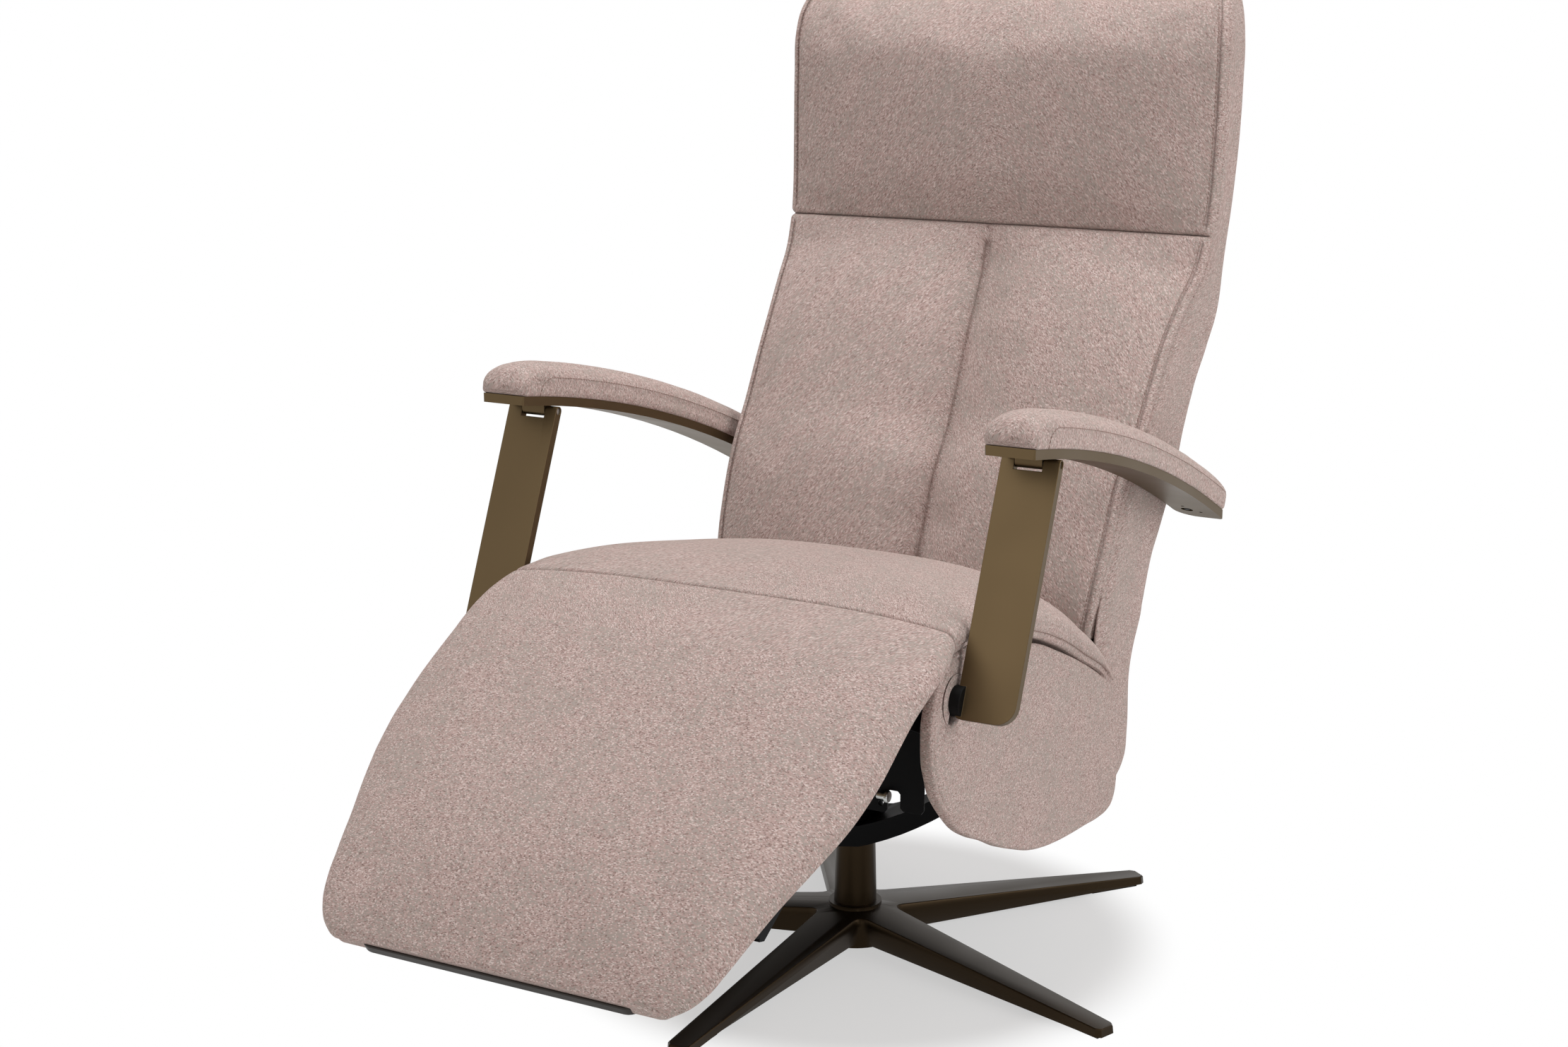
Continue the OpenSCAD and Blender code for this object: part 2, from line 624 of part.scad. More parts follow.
// Back: stations up the back, each [front Y, front Z, rear Y, rear Z, half width], heights from
// the seat's front seam
function from_seam(list) = [for (q = list) [q[0], q[1] + seat_h, q[2], q[3] + seat_h, q[4]]];
BACK = from_seam([
  [87, -116, 232, -119, 242], [98, -63, 241, -101, 242], [119, -8, 260, -59, 242.5],
  [145, 47, 276, -31, 245], [186, 98, 302, 24, 250], [215, 144, 322, 75, 252],
  [248, 191, 343, 119, 254.5], [284, 233, 367, 159, 260], [312, 262, 389, 204, 265],
  [330, 298.5, 405, 283.5, 268]
]);
HEADREST = from_seam([
  [330.5, 301, 409, 285, 268], [337, 334, 416, 329, 270], [341, 385, 426, 382, 271.5],
  [344.5, 469, 432.5, 467, 272.5], [347, 514, 434, 514, 272], [355, 541, 433, 544, 269],
  [369, 560, 428, 565, 263], [388, 571, 414, 573, 254]
]);
TAIL = from_seam([
  [112, -285, 162, -299, 236], [103, -276, 182, -289, 239], [93, -259, 199, -273, 241],
  [84, -221, 206, -235, 242], [84, -171, 207, -169, 242], [92, -135, 220, -137, 242],
  [134, -124, 230, -126, 242]
]);
wide = body_hw - 250;
function f_of(q) = [q[0], q[1]];
function r_of(q) = [q[2], q[3]];
function n_of(q) = unit(r_of(q) - f_of(q));
function d_of(q) = norm(r_of(q) - f_of(q));

// The crown starts low and flat, so that the upright back just clears the seat
module back_cushion() {
  st = smooth(BACK, 2);
  last = len(st) - 1;
  color(FABRIC) place() loft([for (i = [0:last])
    let (q = st[i], c = (i == 0 ? 10 : 0), g = min((i + 0.4)/6, 1))
    cushion_ring(f_of(q) + n_of(q)*c, n_of(q), q[4] + wide - c/2, cushion_t - c, crown*g,
      i == last ? 0 : channel*g)]);
}

// Shell rings start behind the cushion and are open to the front; the inner points leave a wall
function outer_ring(q, d0) = let (w = q[4] + wide, d = d_of(q)) [
  [w, d0], [w, d - 22], [w - 6, d - 7], [w - 20, d], [w/2, d + 3], [0, d + 4], [-w/2, d + 3],
  [20 - w, d], [6 - w, d - 7], [-w, d - 22], [-w, d0]];
function inner_ring(q, d0) = let (w = q[4] + wide - shell_wall, d = d_of(q) - shell_wall) [
  [-w, d0], [-w, d - 16], [16 - w, d], [w - 16, d], [w, d - 16], [w, d0]];
function shell_ring(q, d0) = [for (p = concat(outer_ring(q, d0), inner_ring(q, d0)))
  ring_point(f_of(q), n_of(q), p[0], p[1])];

module back_shell() {
  st = concat(TAIL, smooth(BACK, 2));
  starts = concat([for (q = TAIL) 0], [for (i = [len(TAIL):len(st) - 1])
    cushion_t + (i == len(TAIL) ? 5 : pass_gap)]);
  color(FABRIC) place() difference() {
    loft([for (i = [0:len(st) - 1]) shell_ring(st[i], starts[i])]);
    for (s = [-1, 1]) side(s) rod_x(P3, rear_pin_r + 4, 200, 300);
    plate_x(-300, 300) polygon([
      HEAD + [-4, 12], HEAD + [-3, -1.5], HEAD + [46, -46], HEAD + [90, 12]]);
  }
}
function lift(q, h) = [q[0], q[1] + h, q[2], q[3] + h, q[4]];

// Back frame: a flat bar on each side from the low pivot past the arm's pivot to the headrest
RAIL_1 = mix(f_of(BACK[6]), r_of(BACK[6]), 0.67);
RAIL_2 = mix(f_of(BACK[8]), r_of(BACK[8]), 0.64);
FRAME = [P0, P0 + [30, 92], P3, RAIL_1, RAIL_2, HEAD + [-6, -38], HEAD];
FRAME_R = [13, 14, 13, 12, 11, 9, 7];
// A mitred bar outline along the points pts, r[i] to each side of point i
function along(pts, i) = unit(pts[min(i + 1, len(pts) - 1)] - pts[max(i - 1, 0)]);
function edge(pts, r, i, s) = let (t = along(pts, i)) pts[i] + s*r[i]*[t[1], -t[0]];
module bar(pts, r) {
  last = len(pts) - 1;
  polygon(concat([for (i = [0:last]) edge(pts, r, i, 1)], [for (i = [last:-1:0]) edge(pts, r, i, -1)]));
}
module back_frame(s) {
  color(BLACK) place() side(s) plate_x(inner_out - inner_t, inner_out) difference() {
    union() {
      bar(FRAME, FRAME_R);
      bar([P0, CRANK], [11, 9]);
      translate(P0) circle(17);
      translate(P3) circle(16);
      translate(HEAD) circle(9);
      translate(CRANK) circle(12);
    }
    translate(P0) circle(8 + run_gap);
    translate(P3) circle(rear_pin_r);
    translate(HEAD) circle(5);
    translate(CRANK) circle(6);
    translate(RAIL_1) circle(5);
    translate(RAIL_2) circle(5);
  }
}
module back_frame_left() { back_frame(1); }
module back_frame_right() { back_frame(-1); }

// Recline drive: its rod pushes a cross shaft that hangs below the back's pivots
CRANK = P0 + [-24, -66];
module back_cross_rails() {
  hw = inner_out - inner_t;
  color(BLACK) place() {
    rod_x(CRANK, 6, -hw - inner_t, hw + inner_t);
    rail(RAIL_1, hw, BACK[6][4]);
    rail(RAIL_2, hw, mix(BACK[7][4], BACK[8][4], 0.9));
  }
}

// A rail between the two frames, its turned-down ends reaching the shell that is fixed to them
module rail(p, hw, w) {
  rod_x(p, 10, -hw, hw);
  rod_x(p, 5, -w - wide + shell_wall + 0.5, w + wide - shell_wall - 0.5);
}

module arm_rear_pins() {
  color(STEEL) place() for (s = [-1, 1]) side(s) {
    rod_x(P3, rear_pin_r, inner_out - inner_t, arm_x + arm_w/2 - 15);
    rod_x(P3, rear_pin_r + 3, inner_out, inner_out + 12);
  }
}

// Headrest
module headrest_pins() {
  color(STEEL) place() for (s = [-1, 1]) side(s)
    rod_x(HEAD, 5, inner_out - inner_t - 12, inner_out + 3);
}

module headrest_frame() {
  x1 = inner_out - inner_t - 1;
  color(BLACK) place() {
    for (s = [-1, 1]) side(s) plate_x(x1 - 5, x1) difference() {
      union() {
        link(HEAD, HEAD + [15.5, 50], 9);
        link(HEAD + [15.5, 50], HEAD + [25.5, 205], 9);
      }
      translate(HEAD) circle(5 + run_gap);
    }
    for (p = [[23.5, 170], [16.5, 60]]) difference() {
      rod_x(HEAD + p, 7, -x1 + 5, x1 - 5);
      rod_x(HEAD + p, 5, -x1, x1);
    }
  }
}

module headrest_cushion() {
  st = smooth(HEADREST, 2);
  last = len(st) - 1;
  color(FABRIC) place() loft([for (i = [0:last]) let (q = st[i])
    cushion_ring(f_of(q), n_of(q), q[4] + wide, min(cushion_t, d_of(q)*0.52),
      crown*min(1, (last - i)/5 + 0.2), 0)]);
}

module headrest_shell() {
  st = smooth(HEADREST, 2);
  last = len(st) - 1;
  color(FABRIC) place() difference() {
    loft([for (q = st) shell_ring_top(q)]);
    loft([for (i = [0:last - 5]) hollow_ring(i == 0 ? lift(st[i], -4) : st[i], cushion_t - 6)]);
  }
}
function hollow_ring(q, d0) = [for (p = inner_ring(q, d0)) ring_point(f_of(q), n_of(q), -p[0], p[1])];
function shell_ring_top(q) = let (w = q[4] + wide, n = n_of(q), d = d_of(q),
  d0 = min(cushion_t, d*0.52) + pass_gap, r = min(20, (d - d0)*0.7)) [for (p = [
  [w, d0], [w, d - r], [w - 0.3*r, d - 0.3*r], [w - r, d], [w/2, d + 2], [0, d + 3], [-w/2, d + 2],
  [r - w, d], [0.3*r - w, d - 0.3*r], [-w, d - r], [-w, d0]]) ring_point(f_of(q), n, p[0], p[1])];

// Leg rest, drawn level and pointing along -Y with the pivot at the origin, then turned
module on_knee() {
  place() translate([0, KNEE[0], KNEE[1]]) rotate([leg_slope, 0, 0]) children();
}
rail_low = 10;
rail_high = 26;
module knee_rail(s) {
  color(BLACK) on_knee() side(s) plate_x(inner_out - inner_t, inner_out) difference() {
    union() {
      circle(14);
      polygon([[0, -14], [13, 4], [4, rail_high], [-290, rail_high], [-296, rail_low + 6],
        [-290, rail_low], [-40, rail_low]]);
    }
    circle(6 + run_gap);
    translate([-60, 18]) circle(7);
  }
}
module knee_rail_left() { knee_rail(1); }
module knee_rail_right() { knee_rail(-1); }

module knee_cross_tube() {
  color(BLACK) on_knee() difference() {
    rod_x([-60, 18], 7, -inner_out, inner_out);
    rod_x([-60, 18], 5, -inner_out - 1, inner_out + 1);
  }
}

// The flexible knee between the seat and the leg rest: stations from the seam forward, each
// [Y, Z, lean of the ring, half width, depth, crown]
KNEE_END = KNEE + rot_leg([-48.5, pad_lift + 3]);
KNEE_RINGS = [
  [-seat_front - 0.5, seat_h - 10, 0, body_hw + 1.5, 20, 9],
  [-300, seat_h - 16.5, 8, body_hw + 2.5, 20, 10], [-317, seat_h - 24, 16, body_hw + 8, 22, 11],
  [-343, seat_h - 36, 26, pad_hw - 2, 33, 12],
  [KNEE_END[0], KNEE_END[1], leg_slope, pad_hw - 1, pad_t, 12]
];
function rot_leg(p) = let (c = cos(leg_slope), s = sin(leg_slope)) [p[0]*c - p[1]*s, p[0]*s + p[1]*c];
// Stations along the pad, each [distance from the pivot, height of the edge, half width,
// depth, crown]
PAD_RINGS = [
  [49, pad_lift + 3, pad_hw - 1, pad_t, 12], [100, pad_lift + 2, pad_hw, pad_t, 12],
  [150, pad_lift, pad_hw, pad_t, 12], [200, pad_lift - 1, pad_hw - 6, pad_t, 12],
  [250, pad_lift, pad_hw - 20, pad_t, 12], [300, pad_lift, mix(pad_hw, foot_hw, 0.7), pad_t, 11],
  [pad_end - 57, pad_lift - 2, foot_hw, 24, 9], [pad_end - 27, pad_lift - 4, foot_hw - 9, 15, 7],
  [pad_end - 12, pad_lift - 6, foot_hw - 18, 10, 5], [pad_end, pad_lift - 10, foot_hw - 32, 4, 2]
];
function leg_ring(q) = cushion_ring([-q[0], q[1]], [0, -1], q[2], q[3], q[4], 0);
module knee_cushion() {
  st = smooth(KNEE_RINGS, 2);
  color(FABRIC) place() loft([for (i = [len(st) - 1:-1:0]) let (q = st[i])
    cushion_ring([q[0], q[1]], [sin(q[2]), -cos(q[2])], q[3], q[4], q[5], 0)]);
}
module legrest_pad() {
  st = smooth(PAD_RINGS, 2);
  color(FABRIC) on_knee() loft([for (i = [len(st) - 1:-1:0]) leg_ring(st[i])]);
}

board_top = pad_lift - pad_t - 1.3;
board_low = board_top - 7.7;
module legrest_board() {
  color(WOOD) on_knee() plate_z(board_low, board_top) polygon([
    [-215, -60], [215, -60], [215, -230], [185, -289], [-185, -289], [-215, -230]]);
}
module plate_z(z0, z1) {
  translate([0, 0, z0]) linear_extrude(z1 - z0) children();
}

module runners() {
  color(BLACK) on_knee() for (s = [-1, 1]) side(s) difference() {
    plate_x(inner_out - inner_t - 4, inner_out + 4) difference() {
      translate([-100 - runner_l, rail_low - 1]) square([runner_l, board_low - rail_low + 1]);
      translate([-101 - runner_l, rail_low - 2]) square([runner_l + 2, rail_high - rail_low + 2.5]);
    }
    plate_x(inner_out - inner_t - 0.5, inner_out + 0.5)
      translate([-101 - runner_l, rail_low - 2]) square([runner_l + 2, rail_high - rail_low + 2.5]);
  }
}

module foot_plate() {
  r = 14;
  hw = foot_plate_w/2;
  y1 = -pad_end - 5;
  color(DARK) on_knee() intersection() {
    plate_x(-hw, hw) polygon([
      [-289.5, board_top], [-300, board_top], [y1, pad_lift - 14.5], [y1, pad_lift - 23.5],
      [-306, board_low - 0.5], [-289.5, board_low - 0.5]]);
    plate_z(-50, 200) polygon(concat([[-hw, -280], [hw, -280]],
      [for (a = [0:-15:-90]) [hw - r + r*cos(a), y1 + r + r*sin(a)]],
      [for (a = [-90:-15:-180]) [r - hw + r*cos(a), y1 + r + r*sin(a)]]));
  }
}

// Recline drive: a housing under the seat and a rod that slides out of it to the cross shaft
drive_lean = 6;
function drive_point(t) = CRANK + t*[-cos(drive_lean), sin(drive_lean)];
module recline_drive() {
  color(BLACK) place() {
    difference() {
      union() {
        translate([0, drive_point(140)[0], drive_point(140)[1]]) rotate([90 - drive_lean, 0, 0])
          cylinder(r = 14, h = 170);
        translate([-26, drive_point(290)[0], drive_point(290)[1]]) rotate([-drive_lean, 0, 0])
          translate([0, -70, -22]) cube([52, 70, 44]);
      }
      translate([0, drive_point(130)[0], drive_point(130)[1]]) rotate([90 - drive_lean, 0, 0])
        cylinder(r = 8 + run_gap, h = 140);
    }
    for (x = [-23, 15]) plate_x(x, x + 8) difference() {
      bar([TUBE_F + [0, -tube_r/2], drive_point(340)], [8, 12]);
      translate(TUBE_F) circle(tube_r + 0.2);
    }
  }
}

module recline_rod() {
  color(STEEL) place() difference() {
    union() {
      translate([0, drive_point(24)[0], drive_point(24)[1]]) rotate([90 - drive_lean, 0, 0])
        cylinder(r = 8, h = 200);
      translate([-11, CRANK[0], CRANK[1]]) rotate([-drive_lean, 0, 0])
        translate([0, -26, -12.5]) cube([22, 38, 33]);
    }
    plate_x(-12, 12) link(CRANK + [0, 6.5], CRANK - [0, 1.8], 7);
  }
}

star_base();
floor_glides();
column();
swivel_spindle();
thrust_ring();
hub_bolt();
swivel_cradle();
swivel_bush();
cradle_bolts();
side_plate_left();
side_plate_right();
front_cross_tube();
rear_cross_tube();
seat_board();
seat_cushion();
side_panel_left();
side_panel_right();
post_bearings();
back_pivot_pins();
knee_pivot_pins();
post_left();
post_right();
post_axle_left();
post_axle_right();
post_pin_left();
post_pin_right();
arm_plate_left();
arm_plate_right();
arm_pad_left();
arm_pad_right();
arm_lug_left();
arm_lug_right();
arm_screws_left();
arm_screws_right();
back_frame_left();
back_frame_right();
back_cross_rails();
arm_rear_pins();
back_cushion();
back_shell();
headrest_pins();
headrest_frame();
headrest_cushion();
headrest_shell();
knee_rail_left();
knee_rail_right();
knee_cross_tube();
knee_cushion();
runners();
legrest_board();
legrest_pad();
foot_plate();
recline_drive();
recline_rod();
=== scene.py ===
"""Recliner on a star base: its looks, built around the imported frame.

Meshes are in metres in the row's frame. The tables of the upholstery's lines are in millimetres
from the floor up and from the column's axis out, and `placed` takes them to the row's frame.
The sitter faces -Y, +X is on the sitter's left.
"""
import json
import logging
import math
from dataclasses import dataclass, field
from enum import Enum
from typing import Any, Sequence

import bmesh
import bpy
import numpy as np
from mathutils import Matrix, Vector

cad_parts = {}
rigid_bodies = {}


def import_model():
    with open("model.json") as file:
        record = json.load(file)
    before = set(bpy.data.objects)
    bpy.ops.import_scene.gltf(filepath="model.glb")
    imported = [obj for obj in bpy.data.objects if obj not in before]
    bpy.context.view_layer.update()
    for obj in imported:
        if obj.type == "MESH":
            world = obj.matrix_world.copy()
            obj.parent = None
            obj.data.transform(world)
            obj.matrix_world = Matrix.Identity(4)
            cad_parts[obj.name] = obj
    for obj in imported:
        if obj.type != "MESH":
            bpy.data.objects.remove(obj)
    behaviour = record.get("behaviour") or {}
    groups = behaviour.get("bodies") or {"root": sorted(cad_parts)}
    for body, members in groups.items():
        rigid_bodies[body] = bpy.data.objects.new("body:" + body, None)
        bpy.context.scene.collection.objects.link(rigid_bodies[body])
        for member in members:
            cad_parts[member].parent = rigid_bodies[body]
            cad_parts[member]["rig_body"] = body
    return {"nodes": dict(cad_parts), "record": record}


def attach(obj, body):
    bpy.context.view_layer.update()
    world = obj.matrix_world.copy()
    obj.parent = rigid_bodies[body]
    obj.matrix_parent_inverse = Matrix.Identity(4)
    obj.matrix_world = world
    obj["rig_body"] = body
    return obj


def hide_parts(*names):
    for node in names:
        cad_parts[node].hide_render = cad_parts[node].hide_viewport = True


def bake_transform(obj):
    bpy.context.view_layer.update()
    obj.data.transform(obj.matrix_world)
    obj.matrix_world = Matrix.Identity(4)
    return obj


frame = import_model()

Array = np.ndarray
LOG = logging.getLogger("recliner")
# the column's foot in the row's frame, in metres
SWIVEL = np.array((0.0019954, 0.1225, 0.0))
# y, z of the leg rest's pivot and of the posts' lower pivot, in millimetres
KNEE = (-290.0, 370.0)
POST_FOOT = (-281.0, 385.0)
# the first and last 0.15 of a front's columns lie in the 60 mm beside its edges
BAND, BAND_MM = 0.15, 60.0
# frames that the cloth runs
FRAMES = 20


class Side(Enum):
    """Which side of the sitter a piece is on; the value is the sign of its x."""

    LEFT = 1
    RIGHT = -1


class Fill(Enum):
    """How full a stuffed piece is."""

    FIRM = 0.85
    MEDIUM = 0.7
    SOFT = 0.55


# ---- frame and tables ----


def placed(points: Array) -> Array:
    """Millimetres from the column's foot become metres in the row's frame."""
    return np.asarray(points, float) * 0.001 + SWIVEL


def linked(name: str, data: bpy.types.ID) -> bpy.types.Object:
    """Puts new data into the scene as an object at the origin.

    Args:
        name: the object's name.
        data: its mesh, camera or light.

    Returns:
        The object.
    """
    made = bpy.data.objects.new(name, data)
    bpy.context.scene.collection.objects.link(made)
    return made


def read(things: bpy.types.bpy_prop_collection, key: str) -> Array:
    """Reads a vector of every vertex or face at once.

    Args:
        things: the vertices or faces.
        key: the vector's name, such as co, normal or center.

    Returns:
        One row of three for each.
    """
    out = np.empty(len(things) * 3, np.float32)
    things.foreach_get(key, out)
    return out.reshape(-1, 3)


def flow(places: Array, rows: Array, at: Array) -> Array:
    """Reads a table at any places.

    Cubic pieces run through the rows, and each row's slope is that of its two neighbours.

    Args:
        places: where the rows lie, ascending.
        rows: one entry of any shape for each place.
        at: places to read; those past an end get the end's row.

    Returns:
        One entry for each place in at.
    """
    places, rows = np.asarray(places, float), np.asarray(rows, float)
    flat = rows.reshape(len(rows), -1)
    slope = np.gradient(flat, places, axis=0)
    at = np.clip(np.asarray(at, float), places[0], places[-1])
    i = np.clip(np.searchsorted(places, at, side="right") - 1, 0, len(places) - 2)
    gap = (places[i + 1] - places[i])[:, None]
    u = (at - places[i])[:, None] / gap
    out = (
        (2 * u**3 - 3 * u**2 + 1) * flat[i]
        + (u**3 - 2 * u**2 + u) * gap * slope[i]
        + (3 * u**2 - 2 * u**3) * flat[i + 1]
        + (u**3 - u**2) * gap * slope[i + 1]
    )
    return out.reshape((len(at),) + rows.shape[1:])


def straight(places: Array, rows: Array, at: Array) -> Array:
    """Reads every column of a table at any places, straight between its rows."""
    return np.stack([np.interp(at, places, column) for column in rows.T], axis=1)


def chord(points: Array) -> Array:
    """Distance along a line of points, from its first."""
    steps = np.linalg.norm(np.diff(np.asarray(points, float), axis=0), axis=1)
    return np.concatenate(((0.0,), np.cumsum(steps)))


def even_line(points: Array, step: float) -> Array:
    """The same line with a point every step, straight between the given points.

    Args:
        points: the line.
        step: distance from point to point, in its unit.

    Returns:
        The new points, the first and last as given.
    """
    points = np.asarray(points, float)
    s = chord(points)
    return straight(s, points, np.linspace(0.0, s[-1], max(2, int(round(s[-1] / step)) + 1)))


def spread(parts: Sequence[tuple[float, float, int]], extra: Sequence[float] = ()) -> Array:
    """Ascending grid places: each part is (from, to, count), and extra places are put among them."""
    pieces = [np.linspace(a, b, n) for a, b, n in parts] + [np.asarray(extra, float)]
    return np.unique(np.round(np.concatenate(pieces), 6))


def near(place: float, reach: float, unit: float) -> list[float]:
    """Close grid places on both sides of a seam; reach is in millimetres and unit is one millimetre there."""
    return [place + k * reach * unit for k in (-1.0, -0.6, -0.3, 0.0, 0.3, 0.6, 1.0)]


def nearest(places: Array, wanted: float) -> int:
    """Index of the grid place nearest to a wanted one."""
    return int(np.argmin(np.abs(places - wanted)))


# ---- surfaces ----


@dataclass
class Skin:
    """A surface as a grid of points in millimetres, rows by columns by three; its columns go right round."""

    points: Array

    def normals(self) -> Array:
        """The cross product of the steps along and across, turned away from each row's middle.

        Returns:
            A unit normal for each grid point.
        """
        p = self.points
        n = np.cross(np.gradient(p, axis=0), np.roll(p, -1, 1) - np.roll(p, 1, 1))
        n /= np.maximum(np.linalg.norm(n, axis=2, keepdims=True), 1e-9)
        out = np.sum(n * (p - p.mean(axis=1, keepdims=True)))
        return n if out >= 0 else -n

    def press(self, line: Array, width: float, depth: float) -> None:
        """Pushes the surface in along a line.

        The push is depth times exp(-(distance / width) squared), distance being to the line's nearest point.

        Args:
            line: points of the line.
            width: half width of the groove, in millimetres.
            depth: its depth in millimetres.
        """
        line = even_line(line, max(0.8, width * 0.4))
        flat = self.points.reshape(-1, 3)
        low, high = line.min(0) - 3 * width, line.max(0) + 3 * width
        mask = np.all((flat > low) & (flat < high), axis=1)
        found = np.flatnonzero(mask)
        gap = np.full(len(flat), 1e9)
        for part in np.array_split(found, max(1, len(found) * len(line) // 4_000_000 + 1)):
            if len(part):
                d = flat[part][:, None, :] - line[None, :, :]
                gap[part] = np.sqrt((d * d).sum(2).min(1))
        push = depth * np.exp(-((gap / width) ** 2))
        self.points = self.points - self.normals() * push.reshape(self.points.shape[:2] + (1,))

    def lay(self, line: Array) -> tuple[Array, Array]:
        """Puts a line onto the surface: each point drops to the plane of its nearest grid point.

        Args:
            line: points of the line.

        Returns:
            The points and the surface's normals there.
        """
        flat, normal = self.points.reshape(-1, 3), self.normals().reshape(-1, 3)
        index = np.array([int(np.argmin(((flat - q) ** 2).sum(1))) for q in line])
        n = normal[index]
        drop = ((line - flat[index]) * n).sum(1, keepdims=True)
        return line - n * drop, n


def weave_map(skin: Skin) -> tuple[Array, Array]:
    """Real lengths over the surface, which keep the cloth's threads at their true size.

    Args:
        skin: the surface.

    Returns:
        Lengths in metres: across from the middle column, and along from the first row.
    """
    wrapped = np.concatenate((skin.points, skin.points[:, :1]), axis=1)
    across = np.cumsum(np.linalg.norm(np.diff(wrapped, axis=1), axis=2), axis=1)
    across = np.concatenate((np.zeros((len(wrapped), 1)), across), axis=1)
    across = across - across[:, [across.shape[1] // 2]]
    along = np.cumsum(np.linalg.norm(np.diff(wrapped, axis=0), axis=2), axis=0)
    along = np.concatenate((np.zeros((1, wrapped.shape[1])), along), axis=0)
    return across * 0.001, along * 0.001


def sewn(name: str, skin: Skin, start: bool = True, end: bool = True,
         weave: tuple[Array, Array] | None = None) -> bpy.types.Object:
    """Makes the grid a mesh object.

    Neighbouring grid points make quads; an end row that has shrunk to a point becomes one vertex with a fan.

    Args:
        name: the piece's name.
        skin: its surface.
        start: the first row is such a point.
        end: the last row is such a point.
        weave: the cloth's lie across and along, in metres, or None for real lengths over the surface.

    Returns:
        The object, its faces outwards, with its weave map in metres.
    """
    rows, cols = skin.points.shape[:2]
    r, c = np.meshgrid(np.arange(rows - 1), np.arange(cols), indexing="ij")
    r, c = r.ravel(), c.ravel()
    corner_r = np.stack((r, r, r + 1, r + 1), axis=1)
    corner_c = np.stack((c, c + 1, c + 1, c), axis=1)
    ids = corner_r * cols + corner_c % cols
    across, along = weave or weave_map(skin)
    uv = np.stack((across[corner_r, corner_c], along[corner_r, corner_c]), axis=2)
    points = placed(skin.points).reshape(-1, 3)
    n = skin.normals()
    quad = skin.points.reshape(-1, 3)[ids]
    face_n = np.cross(quad[:, 2] - quad[:, 0], quad[:, 3] - quad[:, 1])
    if np.sum(face_n * n.reshape(-1, 3)[ids[:, 0]]) < 0:
        ids, uv = ids[:, ::-1], uv[:, ::-1]
    if start:
        ids = np.where(ids < cols, 0, ids)
    if end:
        ids = np.where(ids >= (rows - 1) * cols, (rows - 1) * cols, ids)
    used, compact = np.unique(ids, return_inverse=True)
    ids = compact.reshape(ids.shape)
    keep = ids != np.roll(ids, 1, axis=1)
    faces = [face.tolist() for face in np.split(ids[keep], np.cumsum(keep.sum(axis=1))[:-1])]
    mesh = bpy.data.meshes.new(name)
    mesh.from_pydata(points[used].tolist(), [], faces)
    layer = mesh.uv_layers.new(name="weave")
    layer.data.foreach_set("uv", uv[keep].astype(np.float32).ravel())
    mesh.polygons.foreach_set("use_smooth", np.ones(len(faces), bool))
    mesh.update()
    return linked(name, mesh)


def shade_as_one(made: bpy.types.Object, points: Array, normals: Array) -> None:
    """Gives the points that two pieces share the same normals, so that no edge shows between them.

    Args:
        made: one of the two pieces.
        points: the shared points, in millimetres.
        normals: the whole surface's normals there.
    """
    place, own = read(made.data.vertices, "co"), read(made.data.vertices, "normal")
    gap = np.linalg.norm(place[:, None, :] - placed(points)[None, :, :], axis=2)
    shared = gap.min(axis=1) < 1e-6
    own[shared] = normals[gap[shared].argmin(axis=1)]
    made.data.normals_split_custom_set_from_vertices(own.tolist())


